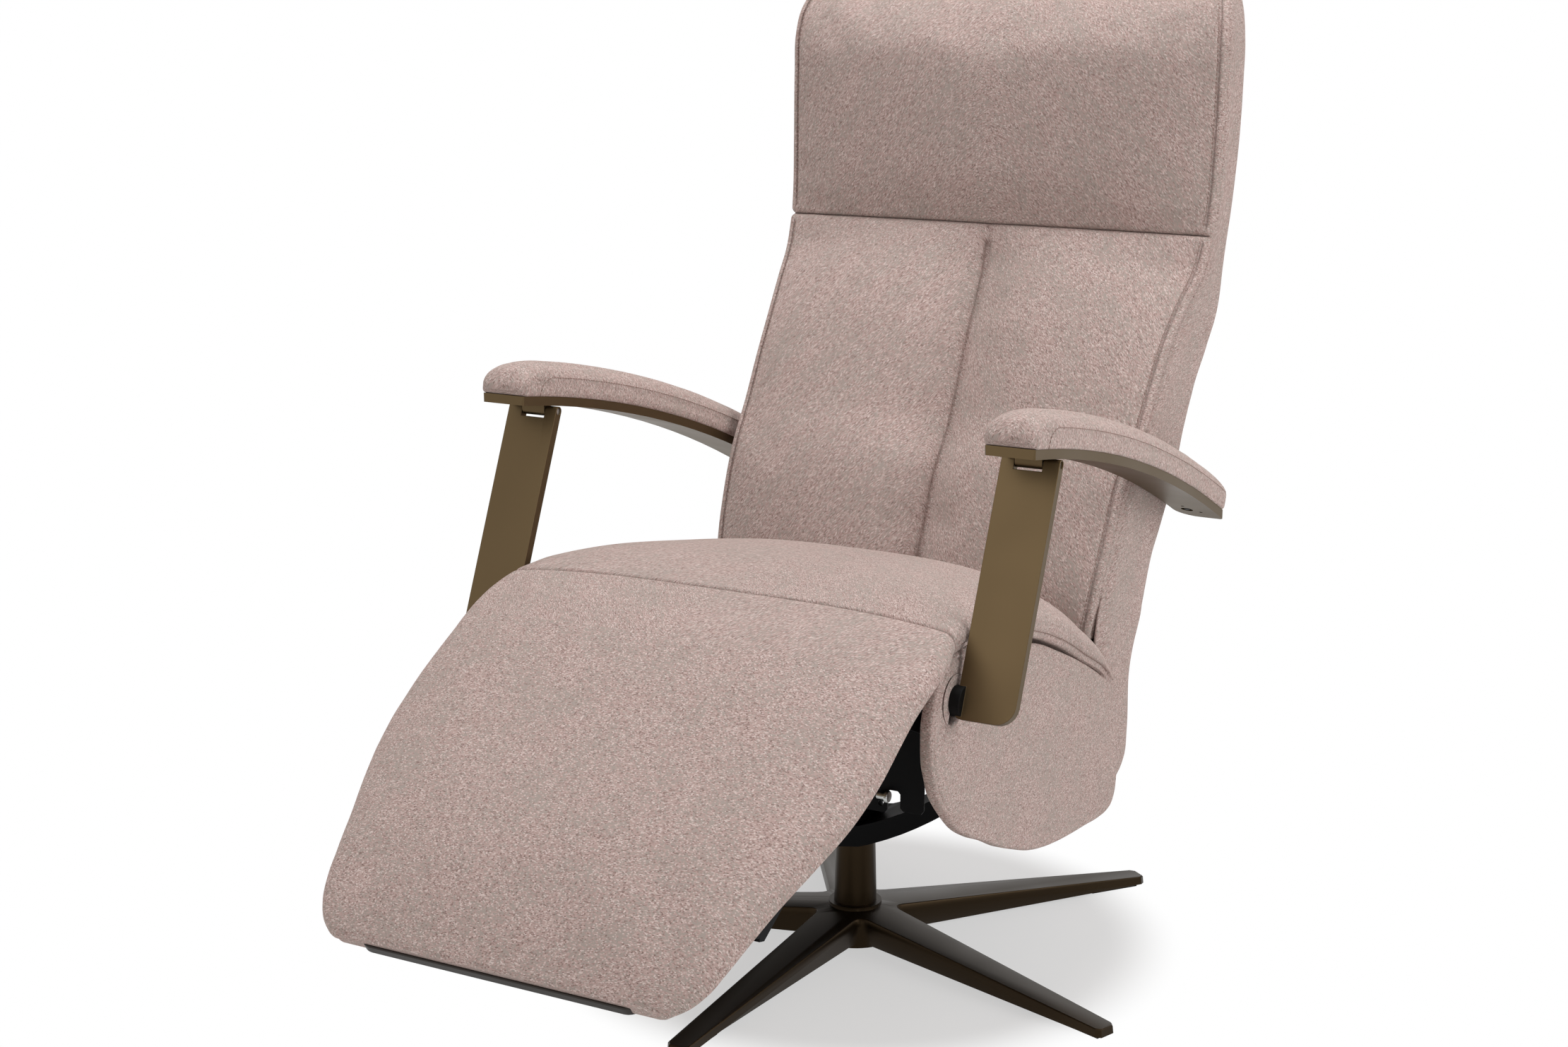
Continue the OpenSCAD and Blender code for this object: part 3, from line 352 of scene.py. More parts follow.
@dataclass
class PaddedForm:
    """Crowned sections carried along a line, with rounded ends.

    The table's columns are y, z of the middle of the section's front edge, lean of its outward direction
    from straight up in degrees, half width, depth, rise of the crown, and how far the sides tuck in below.
    """

    places: Array
    table: Array
    corner: float = 14.0
    rear: float = 6.0
    ends: float = 5.0
    power: float = 2.6
    channel: Array | None = None

    def row_of(self, s: float) -> float:
        """The row place of a distance along the form."""
        s0, s1 = self.places[0] + self.ends, self.places[-1] - self.ends
        return 2.0 + (s - s0) / (s1 - s0)

    def column_of(self, inside: float) -> float:
        """The column place of a line so many millimetres inside the front's left edge; 5 minus it is the right one."""
        return 2.0 + BAND * (inside - self.corner) / BAND_MM

    def surface(self, p: Array, t: Array) -> Array:
        """The form's points.

        A row place p runs 0 to 1 over the closed start, 1 to 2 round its edge, 2 to 3 along the body and on
        to 5 over the end. A column place t runs 0 to 1 up the left side, 1 to 2 round its corner, 2 to 3
        over the front, then down the right side and back under. A point is (x, h) in its section, h being
        the crown rise * (1 - |x / half| ** power) plus a quarter round at the corners. The sides come in by
        tuck * (share of the way down) ** 1.5. A channel takes dip * exp(-|x| / wide) from the front and
        moves it aside by shift * exp(-(x / 90) squared). The section stands on the edge line, leaning as
        the table says.

        Args:
            p: row places.
            t: column places.

        Returns:
            A grid of points in millimetres.
        """
        e = self.ends
        q, r = np.clip(p - 1, 0, 1) * np.pi / 2, np.clip(p - 3, 0, 1) * np.pi / 2
        s0, s1 = self.places[0], self.places[-1]
        s = s0 + e * (1 - np.cos(q)) + (s1 - s0 - 2 * e) * np.clip(p - 2, 0, 1) + e * np.sin(r)
        inset = (e * (1 - np.sin(q)) + e * (1 - np.cos(r)))[:, None]
        shut = (np.clip(1 - p, 0, 1) + np.clip(p - 4, 0, 1))[:, None]
        y, z, lean, half, depth, rise, tuck = (v[:, None] for v in flow(self.places, self.table, s).T)
        half, depth = half - inset, np.maximum(depth - 2 * inset, 1.0)
        c = np.minimum(np.maximum(self.corner - inset, 2.0), 0.48 * depth)
        b = np.minimum(self.rear, 0.45 * depth)
        k, f = np.floor(np.clip(t, 0, 7.999999)).astype(int)[None, :], (t % 1.0)[None, :]
        stretch = [k == i for i in range(8)]
        span = half - c
        band = np.minimum(BAND_MM, 0.6 * span)
        g = np.where(f < BAND, band * f / BAND, np.where(
            f > 1 - BAND, 2 * span - band * (1 - f) / BAND,
            band + (2 * span - 2 * band) * (f - BAND) / (1 - 2 * BAND)))
        ang = f * np.pi / 2
        side_h = (-depth + b) + (depth - b - c) * f
        low = half - tuck
        zero = 0 * half + 0 * f
        x = np.select(
            stretch,
            [tuck * (1 - f) ** 1.5 - half, -span - c * np.cos(ang), -span + g, span + c * np.sin(ang),
             half - tuck * f**1.5, low - b + b * np.cos(ang), (low - b) * (1 - 2 * f),
             -(low - b) - b * np.sin(ang)])
        h = np.select(
            stretch,
            [side_h, -c + c * np.sin(ang), zero, -c + c * np.cos(ang), -c - (depth - b - c) * f,
             -depth + b - b * np.sin(ang), -depth + zero, -depth + b - b * np.cos(ang)])
        up = (k >= 1) & (k <= 3)
        h = h - inset + np.where(up, rise * np.clip(1 - np.abs(x / half) ** self.power, 0, 1), 0.0)
        if self.channel is not None:
            dip, wide, shift = (v[:, None] for v in flow(self.channel[:, 0], self.channel[:, 1:], s).T)
            h = h - np.where(k == 2, dip * np.exp(-np.abs(x) / wide), 0.0)
            x = x + np.where(k == 2, shift * np.exp(-((x / 90.0) ** 2)), 0.0)
        x = x * (1 - shut)
        h = h + (-0.5 * depth - inset - h) * shut
        a = np.radians(lean)
        return np.stack(np.broadcast_arrays(x, y - np.sin(a) * h, z + np.cos(a) * h), axis=2)


def swell(coarse: Array, free: Array, pressure: float, growth: float, cap: float) -> Array:
    """Blows a padded surface up with cloth.

    The grid is sewn into an open tube, points that are not free are pinned, and air pushes the rest out
    for FRAMES frames. How far a point goes is capped at cap * tanh(way / cap), then the field is smoothed
    over its neighbours.

    Args:
        coarse: grid of points in millimetres.
        free: 1 where the cloth may move and 0 where seams or boards hold it.
        pressure: the cloth's air pressure.
        growth: share by which the cloth is larger than the form, which gives it slack.
        cap: furthest way in millimetres.

    Returns:
        The way of each grid point, in millimetres.
    """
    made = sewn("cloth_try", Skin(coarse), start=False, end=False)
    group = made.vertex_groups.new(name="held")
    hold = 1.0 - free.reshape(-1)
    for level in np.unique(np.round(hold, 2)):
        group.add(np.flatnonzero(np.round(hold, 2) == level).tolist(), float(level), "REPLACE")
    cloth = made.modifiers.new("cloth", "CLOTH")
    cloth.settings.quality = 6
    cloth.settings.mass = 0.25
    cloth.settings.tension_stiffness = cloth.settings.compression_stiffness = 18.0
    cloth.settings.shear_stiffness = 8.0
    cloth.settings.bending_stiffness = 1.2
    cloth.settings.use_pressure = True
    cloth.settings.uniform_pressure_force = pressure
    cloth.settings.shrink_min = -growth
    cloth.settings.vertex_group_mass = "held"
    cloth.settings.effector_weights.gravity = 0.0
    cloth.collision_settings.use_collision = False
    cloth.point_cache.frame_end = FRAMES
    scene = bpy.context.scene
    for step in range(1, FRAMES + 1):
        scene.frame_set(step)
    view = made.evaluated_get(bpy.context.evaluated_depsgraph_get())
    after = read(view.data.vertices, "co")
    scene.frame_set(1)
    way = (after.reshape(coarse.shape) - placed(coarse)) * 1000.0
    mesh = made.data
    bpy.data.objects.remove(made)
    bpy.data.meshes.remove(mesh)
    size = np.linalg.norm(way, axis=2, keepdims=True)
    way = way * (cap * np.tanh(size / cap) / np.maximum(size, 1e-9))
    for _ in range(2):
        way[1:-1] = 0.5 * way[1:-1] + 0.25 * (way[:-2] + way[2:])
        way = 0.5 * way + 0.25 * (np.roll(way, 1, 1) + np.roll(way, -1, 1))
    return way * free[:, :, None]


def upholstered(form: PaddedForm, rows: Array, cols: Array, pressure: float, growth: float, cap: float,
                reach: tuple[float, float], held: Sequence[float] = ()) -> Skin:
    """A padded form, swollen by cloth between its seams and read on a fine grid.

    Args:
        form: the form.
        rows: fine row places.
        cols: fine column places.
        pressure: air pressure of the cloth.
        growth: the cloth's slack.
        cap: furthest swelling in millimetres.
        reach: first and last column place that may swell.
        held: column places that are sewn down.

    Returns:
        The swollen skin.
    """
    p = spread([(1, 2, 3), (2, 3, 61), (3, 4, 3)])
    t = spread([(0, 1, 4), (1, 2, 4), (2, 2.15, 8), (2.15, 2.85, 49), (2.85, 3, 8), (3, 4, 4), (4, 5, 4),
                (5, 7.9, 9)], held)
    t = t[t < 7.95]
    loose = np.min([np.abs(t - s) for s in held], axis=0) > 1e-4 if len(held) else np.ones(len(t), bool)
    free = np.outer((p > 1.9) & (p < 3.1), (t > reach[0]) & (t < reach[1]) & loose)
    way = swell(form.surface(p, t), free.astype(float), pressure, growth, cap)
    way = straight(p, way.reshape(len(p), -1), rows).reshape(len(rows), len(t), 3).transpose(1, 0, 2)
    way = straight(t, way.reshape(len(t), -1), cols)
    return Skin(form.surface(rows, cols) + way.reshape(len(cols), len(rows), 3).transpose(1, 0, 2))


# ---- thread ----

# six directions round a thread, as cosine and sine
THREAD_RING = np.stack([np.array((math.cos(a), math.sin(a))) for a in np.arange(6) * math.pi / 3])


def stitches(name: str, lines: Sequence[tuple[Array, Array]], pitch: float = 5.0, length: float = 3.7,
             thick: float = 0.42) -> bpy.types.Object:
    """Topstitching: short rounded threads along lines on a surface.

    Each thread is a six-sided spindle: rings at four places along it, the outer two thinner, drawn between
    two points, and lying half sunk in the cloth.

    Args:
        name: the piece's name.
        lines: pairs of points and normals, in millimetres.
        pitch: distance from stitch to stitch.
        length: length of the thread that shows.
        thick: radius of the thread.

    Returns:
        One object with every stitch.
    """
    verts, faces, base = [], [], 0
    along = np.array((-0.5, -0.3, 0.3, 0.5)) * length
    width = np.array((0.35, 1.0, 1.0, 0.35)) * thick
    unit = np.array([[k * 6 + i, k * 6 + (i + 1) % 6, (k + 1) * 6 + (i + 1) % 6, (k + 1) * 6 + i]
                     for k in range(3) for i in range(6)])
    for points, normals in lines:
        s = chord(points)
        at = np.arange(pitch * 0.5, s[-1], pitch)
        mid, n = straight(s, points, at), straight(s, normals, at)
        d = straight(s, points, np.minimum(at + 1.0, s[-1])) - mid
        d /= np.maximum(np.linalg.norm(d, axis=1, keepdims=True), 1e-6)
        n /= np.maximum(np.linalg.norm(n, axis=1, keepdims=True), 1e-6)
        b = np.cross(d, n)
        ring = (b[:, None, None, :] * THREAD_RING[None, None, :, 0:1]
                + n[:, None, None, :] * THREAD_RING[None, None, :, 1:2]) * width[None, :, None, None]
        arch = (1 - (along / along[-1]) ** 2) * 0.35
        v = (mid + n * 0.12)[:, None, None, :] + d[:, None, None, :] * along[None, :, None, None] \
            + n[:, None, None, :] * arch[None, :, None, None] + ring
        verts.append(v.reshape(-1, 3))
        starts = base + 24 * np.arange(len(mid))
        faces.extend((unit + starts[:, None, None]).reshape(-1, 4).tolist())
        faces.extend([[s0 + i for i in range(5, -1, -1)] for s0 in starts.tolist()])
        faces.extend([[s0 + 18 + i for i in range(6)] for s0 in starts.tolist()])
        base += 24 * len(mid)
    mesh = bpy.data.meshes.new(name)
    mesh.from_pydata(placed(np.concatenate(verts)).tolist(), [], faces)
    mesh.polygons.foreach_set("use_smooth", np.ones(len(faces), bool))
    mesh.update()
    made = linked(name, mesh)
    face_out(made)
    return made


def face_out(made: bpy.types.Object, merge: float = 0.0) -> None:
    """Turns every face of a mesh outwards.

    Args:
        made: the object.
        merge: distance in metres under which vertices become one before that.
    """
    work = bmesh.new()
    work.from_mesh(made.data)
    if merge > 0:
        bmesh.ops.remove_doubles(work, verts=work.verts, dist=merge)
    bmesh.ops.recalc_face_normals(work, faces=work.faces)
    work.to_mesh(made.data)
    work.free()


# ---- finishes ----


def linear(code: str) -> tuple[float, float, float, float]:
    """A colour written as #rrggbb in sRGB, as opaque linear light."""
    parts = [int(code[i:i + 2], 16) / 255 for i in (1, 3, 5)]
    return tuple(c / 12.92 if c <= 0.04045 else ((c + 0.055) / 1.055) ** 2.4 for c in parts) + (1.0,)


def node(tree: bpy.types.NodeTree, kind: str, inputs: dict[Any, Any] | None = None, **settings: Any) -> bpy.types.Node:
    """Adds a node with its settings.

    Args:
        tree: where it goes.
        kind: its type.
        inputs: its inputs by name or number; a socket is linked, anything else is the input's value.
        settings: its own properties.

    Returns:
        The node.
    """
    made = tree.nodes.new(kind)
    for key, value in settings.items():
        setattr(made, key, value)
    for key, value in (inputs or {}).items():
        if isinstance(value, bpy.types.NodeSocket):
            tree.links.new(value, made.inputs[key])
        else:
            made.inputs[key].default_value = value
    return made


def ramp(tree: bpy.types.NodeTree, factor: bpy.types.NodeSocket,
         stops: Sequence[tuple[float, str]]) -> bpy.types.NodeSocket:
    """A colour ramp, made by the one function that adds nodes.

    Args:
        tree: where it goes.
        factor: what is looked up.
        stops: places and their colours, ascending.

    Returns:
        The colour.
    """
    made = node(tree, "ShaderNodeValToRGB", {"Fac": factor})
    while len(made.color_ramp.elements) < len(stops):
        made.color_ramp.elements.new(0.5)
    for element, (place, code) in zip(made.color_ramp.elements, stops):
        element.position = place
        element.color = linear(code)
    return made.outputs["Color"]


def blank(name: str) -> tuple[bpy.types.Material, bpy.types.NodeTree, bpy.types.Node]:
    """A new material with only its output.

    Args:
        name: the material's name.

    Returns:
        The material, its nodes and the output.
    """
    made = bpy.data.materials.new(name)
    made.use_nodes = True
    made.node_tree.nodes.clear()
    return made, made.node_tree, made.node_tree.nodes.new("ShaderNodeOutputMaterial")


@dataclass(frozen=True)
class FleckedWeave:
    """Polyester tweed, plain woven from two-tone slub yarn: a matt, softly hairy surface with small flecks."""

    name: str = "flecked_tweed"
    shadow_yarn: str = "#85706a"
    ground: str = "#b69f99"
    light_yarn: str = "#d6c8c4"
    grey_yarn: str = "#a79c95"
    thread_mm: float = 0.95

    def material(self) -> bpy.types.Material:
        """Cells the size of a yarn crossing give each its tint and its little bump; slow noise shifts the tone.

        Returns:
            The material.
        """
        made, tree, out = blank(self.name)
        uv = node(tree, "ShaderNodeUVMap", uv_map="weave").outputs["UV"]
        # the real yarn crossings are about 0.6 mm apart; drawn coarser so that they show in the render
        cells = 1000.0 / self.thread_mm
        place = node(tree, "ShaderNodeMapping", {"Vector": uv, "Scale": (cells * 0.6, cells, 1.0)}).outputs["Vector"]
        yarn = node(tree, "ShaderNodeTexVoronoi", {"Vector": place, "Scale": 1.0, "Randomness": 0.6},
                    voronoi_dimensions="2D")
        pick = node(tree, "ShaderNodeSeparateColor", {"Color": yarn.outputs["Color"]})
        tint = ramp(tree, pick.outputs["Red"], [(0.0, self.shadow_yarn), (0.32, self.ground), (0.66, self.ground),
                                                (1.0, self.light_yarn)])
        # clouds of three to six centimetres where the beige-grey yarn comes to the face
        slow = node(tree, "ShaderNodeTexNoise", {"Vector": uv, "Scale": 17.0, "Detail": 4.0, "Roughness": 0.62})
        grey = node(tree, "ShaderNodeMapRange", {"Value": slow.outputs["Fac"], "From Min": 0.36, "From Max": 0.66,
                                                 "To Min": 0.05, "To Max": 0.62}).outputs["Result"]
        some = node(tree, "ShaderNodeMath", {0: pick.outputs["Green"], 1: grey}, operation="LESS_THAN").outputs[0]
        shade = node(tree, "ShaderNodeMix", {0: some, 6: tint, 7: linear(self.grey_yarn)},
                     data_type="RGBA").outputs[2]
        hair = node(tree, "ShaderNodeTexNoise", {"Vector": uv, "Scale": 2600.0, "Detail": 2.0})
        height = node(tree, "ShaderNodeMath", {0: yarn.outputs["Distance"], 1: -0.9, 2: hair.outputs["Fac"]},
                      operation="MULTIPLY_ADD").outputs[0]
        bump = node(tree, "ShaderNodeBump", {"Height": height, "Strength": 0.55, "Distance": 0.00045})
        skin = node(tree, "ShaderNodeBsdfPrincipled", {
            "Base Color": shade, "Roughness": 0.92, "Specular IOR Level": 0.18, "Sheen Weight": 0.22,
            "Sheen Roughness": 0.5, "Sheen Tint": linear("#e6d8d2"), "Normal": bump.outputs["Normal"]})
        tree.links.new(skin.outputs["BSDF"], out.inputs["Surface"])
        return made


@dataclass(frozen=True)
class Lacquer:
    """Steel or cast aluminium under a sprayed lacquer or powder: even colour with a faint orange peel."""

    name: str
    colour: str
    metallic: float
    roughness: float
    grain_mm: float = 0.7
    relief: float = 0.06
    gloss: float = 0.5

    def material(self) -> bpy.types.Material:
        """Fine noise makes the orange peel and moves the gloss a little, so highlights break up softly.

        Returns:
            The material.
        """
        made, tree, out = blank(self.name)
        spot = node(tree, "ShaderNodeTexCoord").outputs["Object"]
        fine = node(tree, "ShaderNodeTexNoise", {"Vector": spot, "Scale": 1000.0 / self.grain_mm, "Detail": 2.0})
        slow = node(tree, "ShaderNodeTexNoise", {"Vector": spot, "Scale": 9.0, "Detail": 2.0})
        gloss = node(tree, "ShaderNodeMapRange", {"Value": slow.outputs["Fac"], "From Min": 0.3, "From Max": 0.7,
                                                  "To Min": self.roughness - 0.04,
                                                  "To Max": self.roughness + 0.05}).outputs["Result"]
        bump = node(tree, "ShaderNodeBump", {"Height": fine.outputs["Fac"], "Strength": self.relief,
                                             "Distance": 0.0002})
        skin = node(tree, "ShaderNodeBsdfPrincipled", {
            "Base Color": linear(self.colour), "Metallic": self.metallic, "Roughness": gloss,
            "Specular IOR Level": self.gloss, "Normal": bump.outputs["Normal"]})
        tree.links.new(skin.outputs["BSDF"], out.inputs["Surface"])
        return made


@dataclass(frozen=True)
class BirchPly:
    """Birch plywood, sanded: pale wood with long soft grain."""

    name: str = "birch_plywood"
    pale: str = "#d8be93"
    dark: str = "#b8935f"

    def material(self) -> bpy.types.Material:
        """Noise stretched along the board gives the grain.

        Returns:
            The material.
        """
        made, tree, out = blank(self.name)
        spot = node(tree, "ShaderNodeTexCoord").outputs["Object"]
        long = node(tree, "ShaderNodeMapping", {"Vector": spot, "Scale": (260.0, 14.0, 260.0)}).outputs["Vector"]
        grain = node(tree, "ShaderNodeTexNoise", {"Vector": long, "Scale": 1.0, "Detail": 4.0})
        tint = ramp(tree, grain.outputs["Fac"], [(0.3, self.dark), (0.7, self.pale)])
        skin = node(tree, "ShaderNodeBsdfPrincipled", {"Base Color": tint, "Roughness": 0.6})
        tree.links.new(skin.outputs["BSDF"], out.inputs["Surface"])
        return made


@dataclass
class Finishes:
    """Every finish of the chair, made once, by the record's slot."""

    weave: bpy.types.Material = field(default_factory=lambda: FleckedWeave().material())
    thread: bpy.types.Material = field(default_factory=lambda: Lacquer(
        "sewing_thread", "#8d736a", metallic=0.0, roughness=0.6, grain_mm=0.4, relief=0.2).material())
    bronze: bpy.types.Material = field(default_factory=lambda: Lacquer(
        "satin_bronze_lacquer", "#5e4e37", metallic=0.8, roughness=0.44, gloss=0.15).material())
    # the star base's bronze: the posts' bronze made darker, partly its own darker tone and partly painted shade for the
    # shadow under the seat
    dark_bronze: bpy.types.Material = field(default_factory=lambda: Lacquer(
        "dark_bronze_powder", "#30261a", metallic=0.85, roughness=0.36, gloss=0.1).material())
    foot_plate: bpy.types.Material = field(default_factory=lambda: Lacquer(
        "dark_lacquered_plate", "#2b2622", metallic=0.3, roughness=0.45, gloss=0.3).material())
    black_steel: bpy.types.Material = field(default_factory=lambda: Lacquer(
        "black_powder_coat", "#070708", metallic=0.0, roughness=0.5, grain_mm=0.9, relief=0.12, gloss=0.08).material())
    plastic: bpy.types.Material = field(default_factory=lambda: Lacquer(
        "black_nylon", "#0c0c0c", metallic=0.0, roughness=0.55, grain_mm=0.5, relief=0.1, gloss=0.12).material())
    zinc: bpy.types.Material = field(default_factory=lambda: Lacquer(
        "zinc_plated_steel", "#b9bab8", metallic=1.0, roughness=0.32, grain_mm=0.4, relief=0.03).material())
    ply: bpy.types.Material = field(default_factory=lambda: BirchPly().material())

    def by_slot(self, slot: str, name: str) -> bpy.types.Material:
        """Picks the finish of a node.

        Args:
            slot: the record's material slot.
            name: the node; the foot plate has a finish of its own.

        Returns:
            The material.
        """
        if name == "foot_plate":
            return self.foot_plate
        return {"dark_bronze_lacquer": self.dark_bronze, "black_plastic": self.plastic, "bright_steel": self.zinc,
                "black_painted_steel": self.black_steel, "plywood": self.ply, "flecked_weave": self.weave,
                "bronze_satin_metal": self.bronze}[slot]


def dress(made: bpy.types.Object, material: bpy.types.Material) -> None:
    """Gives a new piece its finish.

    Args:
        made: the piece.
        material: its finish.
    """
    made.data.materials.clear()
    made.data.materials.append(material)


# ---- upholstery ----


@dataclass
class LegRest:
    """The leg rest: one padded form from the seat's seam over the knee to the foot, cut where the pad starts."""

    finishes: Finishes
    # y, z, lean, half width, depth, rise, tuck, over the knee
    knee: tuple = ((-285.6, 451.2, 0, 252.5, 24, 12, 0), (-300, 447.4, 8, 255.6, 26, 14, 6),
                   (-317, 441.8, 16, 259.2, 30, 15, 14), (-343, 433.0, 26, 260.2, 34, 15, 22),
                   (-371.8, 420.2, 31.1, 260.0, 38, 14, 26))
    # along the rail from the knee, height over it, half width, depth, rise, tuck
    pad: tuple = ((72, 87.5, 259, 36, 14, 26), (100, 88.2, 259.5, 36, 14, 27), (150, 87.8, 259.6, 36, 14, 28),
                  (200, 88.0, 254.6, 36, 14, 28), (250, 88.2, 242.8, 35, 14, 28), (300, 87.0, 228.6, 34, 13, 27),
                  (340, 84.2, 218.6, 33, 12, 25), (366, 81.2, 212.0, 31, 10, 21), (389, 75.6, 203.4, 27, 8, 15),
                  (405, 70.2, 192, 21, 5, 9), (415.5, 65.2, 178, 15, 3.5, 5))
    lean: float = 31.1
    cut: float = 45.0

    def on_rail(self, along: float, up: float) -> Array:
        """A place in the rail's frame, taken to the chair's.

        Args:
            along: distance along the rail from the knee.
            up: height over it.

        Returns:
            Its y and z.
        """
        a = math.radians(self.lean)
        out, over = np.array((-math.cos(a), -math.sin(a))), np.array((-math.sin(a), math.cos(a)))
        return np.array(KNEE) + along * out + up * over

    def form(self) -> PaddedForm:
        """The knee's rows and then the pad's, turned from the rail's frame into the chair's.

        Returns:
            The whole form.
        """
        pad = [(*self.on_rail(along, up), self.lean, *rest) for along, up, *rest in self.pad]
        table = np.array([*self.knee[:-1], *pad], float)
        return PaddedForm(chord(table[:, :2]), table, corner=17.0, rear=8.0, ends=5.0, power=3.6)

    def build(self) -> list[bpy.types.Object]:
        """The form is cut where the pad starts into the knee's skin and the pad's, which are shaded as one along the
        cut.

        Returns:
            The two skins.
        """
        form = self.form()
        split = form.row_of(self.place_on_line(form, self.cut))
        rows = spread([(0, 1, 4), (1, 2, 5), (2, 3, 120), (3, 4, 7), (4, 5, 4)], [split])
        cols = spread([(0, 1, 6), (1, 2, 7), (2, 2.15, 13), (2.15, 2.85, 84), (2.85, 3, 13), (3, 4, 7), (4, 5, 6),
                       (5, 6, 4), (6, 7, 24), (7, 7.75, 4)])
        skin = upholstered(form, rows, cols, pressure=2.2, growth=0.004, cap=6.0, reach=(1.05, 3.95))
        at = nearest(rows, split)
        normals = skin.normals()
        knee = sewn("knee_skin", Skin(skin.points[:at + 1]), end=False)
        pad = sewn("leg_pad_skin", Skin(skin.points[at:]), start=False)
        shade_as_one(knee, skin.points[at], normals[at])
        shade_as_one(pad, skin.points[at], normals[at])
        for made in (knee, pad):
            dress(made, self.finishes.weave)
        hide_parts("knee_cushion")
        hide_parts("legrest_pad")
        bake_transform(knee)
        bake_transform(pad)
        return [knee, pad]

    def place_on_line(self, form: PaddedForm, along: float) -> float:
        """Finds a place of the rail on the form.

        Args:
            form: the form.
            along: distance along the rail from the knee.

        Returns:
            Distance along the form's edge line.
        """
        a = math.radians(self.lean)
        rail = -(form.table[:, 0] - KNEE[0]) * math.cos(a) - (form.table[:, 1] - KNEE[1]) * math.sin(a)
        return float(np.interp(along, rail, form.places))


@dataclass
class SeatCushion:
    """The seat: a strongly crowned cushion whose flanks run back beside the backrest in two thin wings."""

    finishes: Finishes
    # y, height of the edge line, lean, half width, depth, rise, tuck
    rings: tuple = ((-285, 452, 0, 252, 24, 12, 3), (-262, 452, 0, 251.5, 23, 13, 3), (-240, 452, 0, 251.5, 23, 14, 4),
                    (-180, 446, 0, 252, 23, 17, 4), (-115, 434, 0, 253, 28.5, 21, 5), (-60, 417, 0, 253.5, 29.5, 31, 6),
                    (0, 392, 0, 253.5, 30, 46, 6), (37, 370, 0, 253.5, 27, 56, 6), (70, 349, 0, 253, 22, 61, 5),
                    (91, 334, 0, 252.5, 18, 62, 4), (112, 315, 0, 251.5, 14, 61, 3), (126, 302, 0, 250.0, 10, 59, 2))
    # the column place of the flank's seam, and seven places across it
    flank: float = 0.16
    across: tuple = tuple(0.16 + k * 0.045 for k in range(-3, 4))
    # two corners of the room that the backrest takes between the wings
    room: tuple = ((-242.8, 37.0, 150.0), (242.8, 260.0, 520.0))

    def form(self) -> PaddedForm:
        """The cushion as a padded form along Y."""
        rows = np.array(self.rings, float)
        return PaddedForm(rows[:, 0] - rows[0, 0], rows, corner=15.0, rear=5.0, ends=4.0, power=3.4)

    def build(self) -> list[bpy.types.Object]:
        """The crown is blown up by cloth, the flank gets its seam, then the room for the backrest is cut out.

        Returns:
            The cushion and its topstitching.
        """
        form = self.form()
        rows = spread([(0, 1, 4), (1, 2, 5), (2, 3, 104), (3, 4, 4), (4, 5, 3)])
        cols = spread([(0, 1, 7), (1, 2, 7), (2, 2.15, 13), (2.15, 2.85, 72), (2.85, 3, 13), (3, 4, 7), (4, 5, 7),
                       (5, 6, 3), (6, 7, 12), (7, 7.75, 3)], [*self.across, *(5 - np.array(self.across))])
        skin = upholstered(form, rows, cols, pressure=3.0, growth=0.006, cap=7.0, reach=(1.5, 3.5))
        lines = []
        for col in (self.flank, 5 - self.flank):
            line = skin.points[(rows > 2.02) & (rows < 2.97), nearest(cols, col)]
            skin.press(line, width=1.6, depth=1.3)
            lines.append(even_line(line, 3.0) + (0, 0, 2.6))
        made = sewn("seat_cushion_skin", skin)
        self.cut_back(made)
        dress(made, self.finishes.weave)
        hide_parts("seat_cushion")
        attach(made, "seat")
        thread = stitches("seat_flank_stitches", [skin.lay(line) for line in lines])
        dress(thread, self.finishes.thread)
        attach(thread, "seat")
        return [made, thread]

    def cut_back(self, made: bpy.types.Object) -> None:
        """Takes the room for the backrest out of the mesh, with a box.

        Args:
            made: the cushion.
        """
        lo, hi = placed(self.room)
        box = bmesh.new()
        bmesh.ops.create_cube(box, size=1.0)
        for v in box.verts:
            v.co = Vector([lo[k] if v.co[k] < 0 else hi[k] for k in range(3)])
        mesh = bpy.data.meshes.new("cut")
        box.to_mesh(mesh)
        box.free()
        tool = linked("cut", mesh)
        mod = made.modifiers.new("cut", "BOOLEAN")
        mod.operation, mod.object, mod.solver = "DIFFERENCE", tool, "EXACT"
        view = made.evaluated_get(bpy.context.evaluated_depsgraph_get())
        fresh = bpy.data.meshes.new_from_object(view)
        made.modifiers.clear()
        old, made.data = made.data, fresh
        bpy.data.meshes.remove(old)
        bpy.data.objects.remove(tool)
        bpy.data.meshes.remove(mesh)
        made.data.set_sharp_from_angle(angle=math.radians(50))


@dataclass
class SeatGusset:
    """The loose cloth that carries the seat's top on under the backrest."""

    finishes: Finishes
    rings: tuple = ((24, 373, 0, 236, 20, 52, 0), (37, 366, 0, 236, 20, 55, 0), (55, 356, 0, 236, 20, 58, 0),
                    (75, 344, 0, 236, 20, 60, 0), (97, 326, 0, 236, 20, 62, 0))

    def build(self) -> list[bpy.types.Object]:
        """A thin padded sheet, bent between seat and back.

        Returns:
            The gusset.
        """
        rows = np.array(self.rings, float)
        form = PaddedForm(rows[:, 0] - rows[0, 0], rows, corner=8.0, rear=4.0, ends=4.0, power=2.6)
        made = sewn("seat_gusset", Skin(form.surface(
            spread([(0, 1, 3), (1, 2, 4), (2, 3, 22), (3, 4, 4), (4, 5, 3)]),
            spread([(0, 1, 3), (1, 2, 4), (2, 3, 64), (3, 4, 4), (4, 5, 3), (5, 6, 3), (6, 7, 12), (7, 7.7, 3)]))))
        dress(made, self.finishes.weave)
        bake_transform(made)
        return [made]


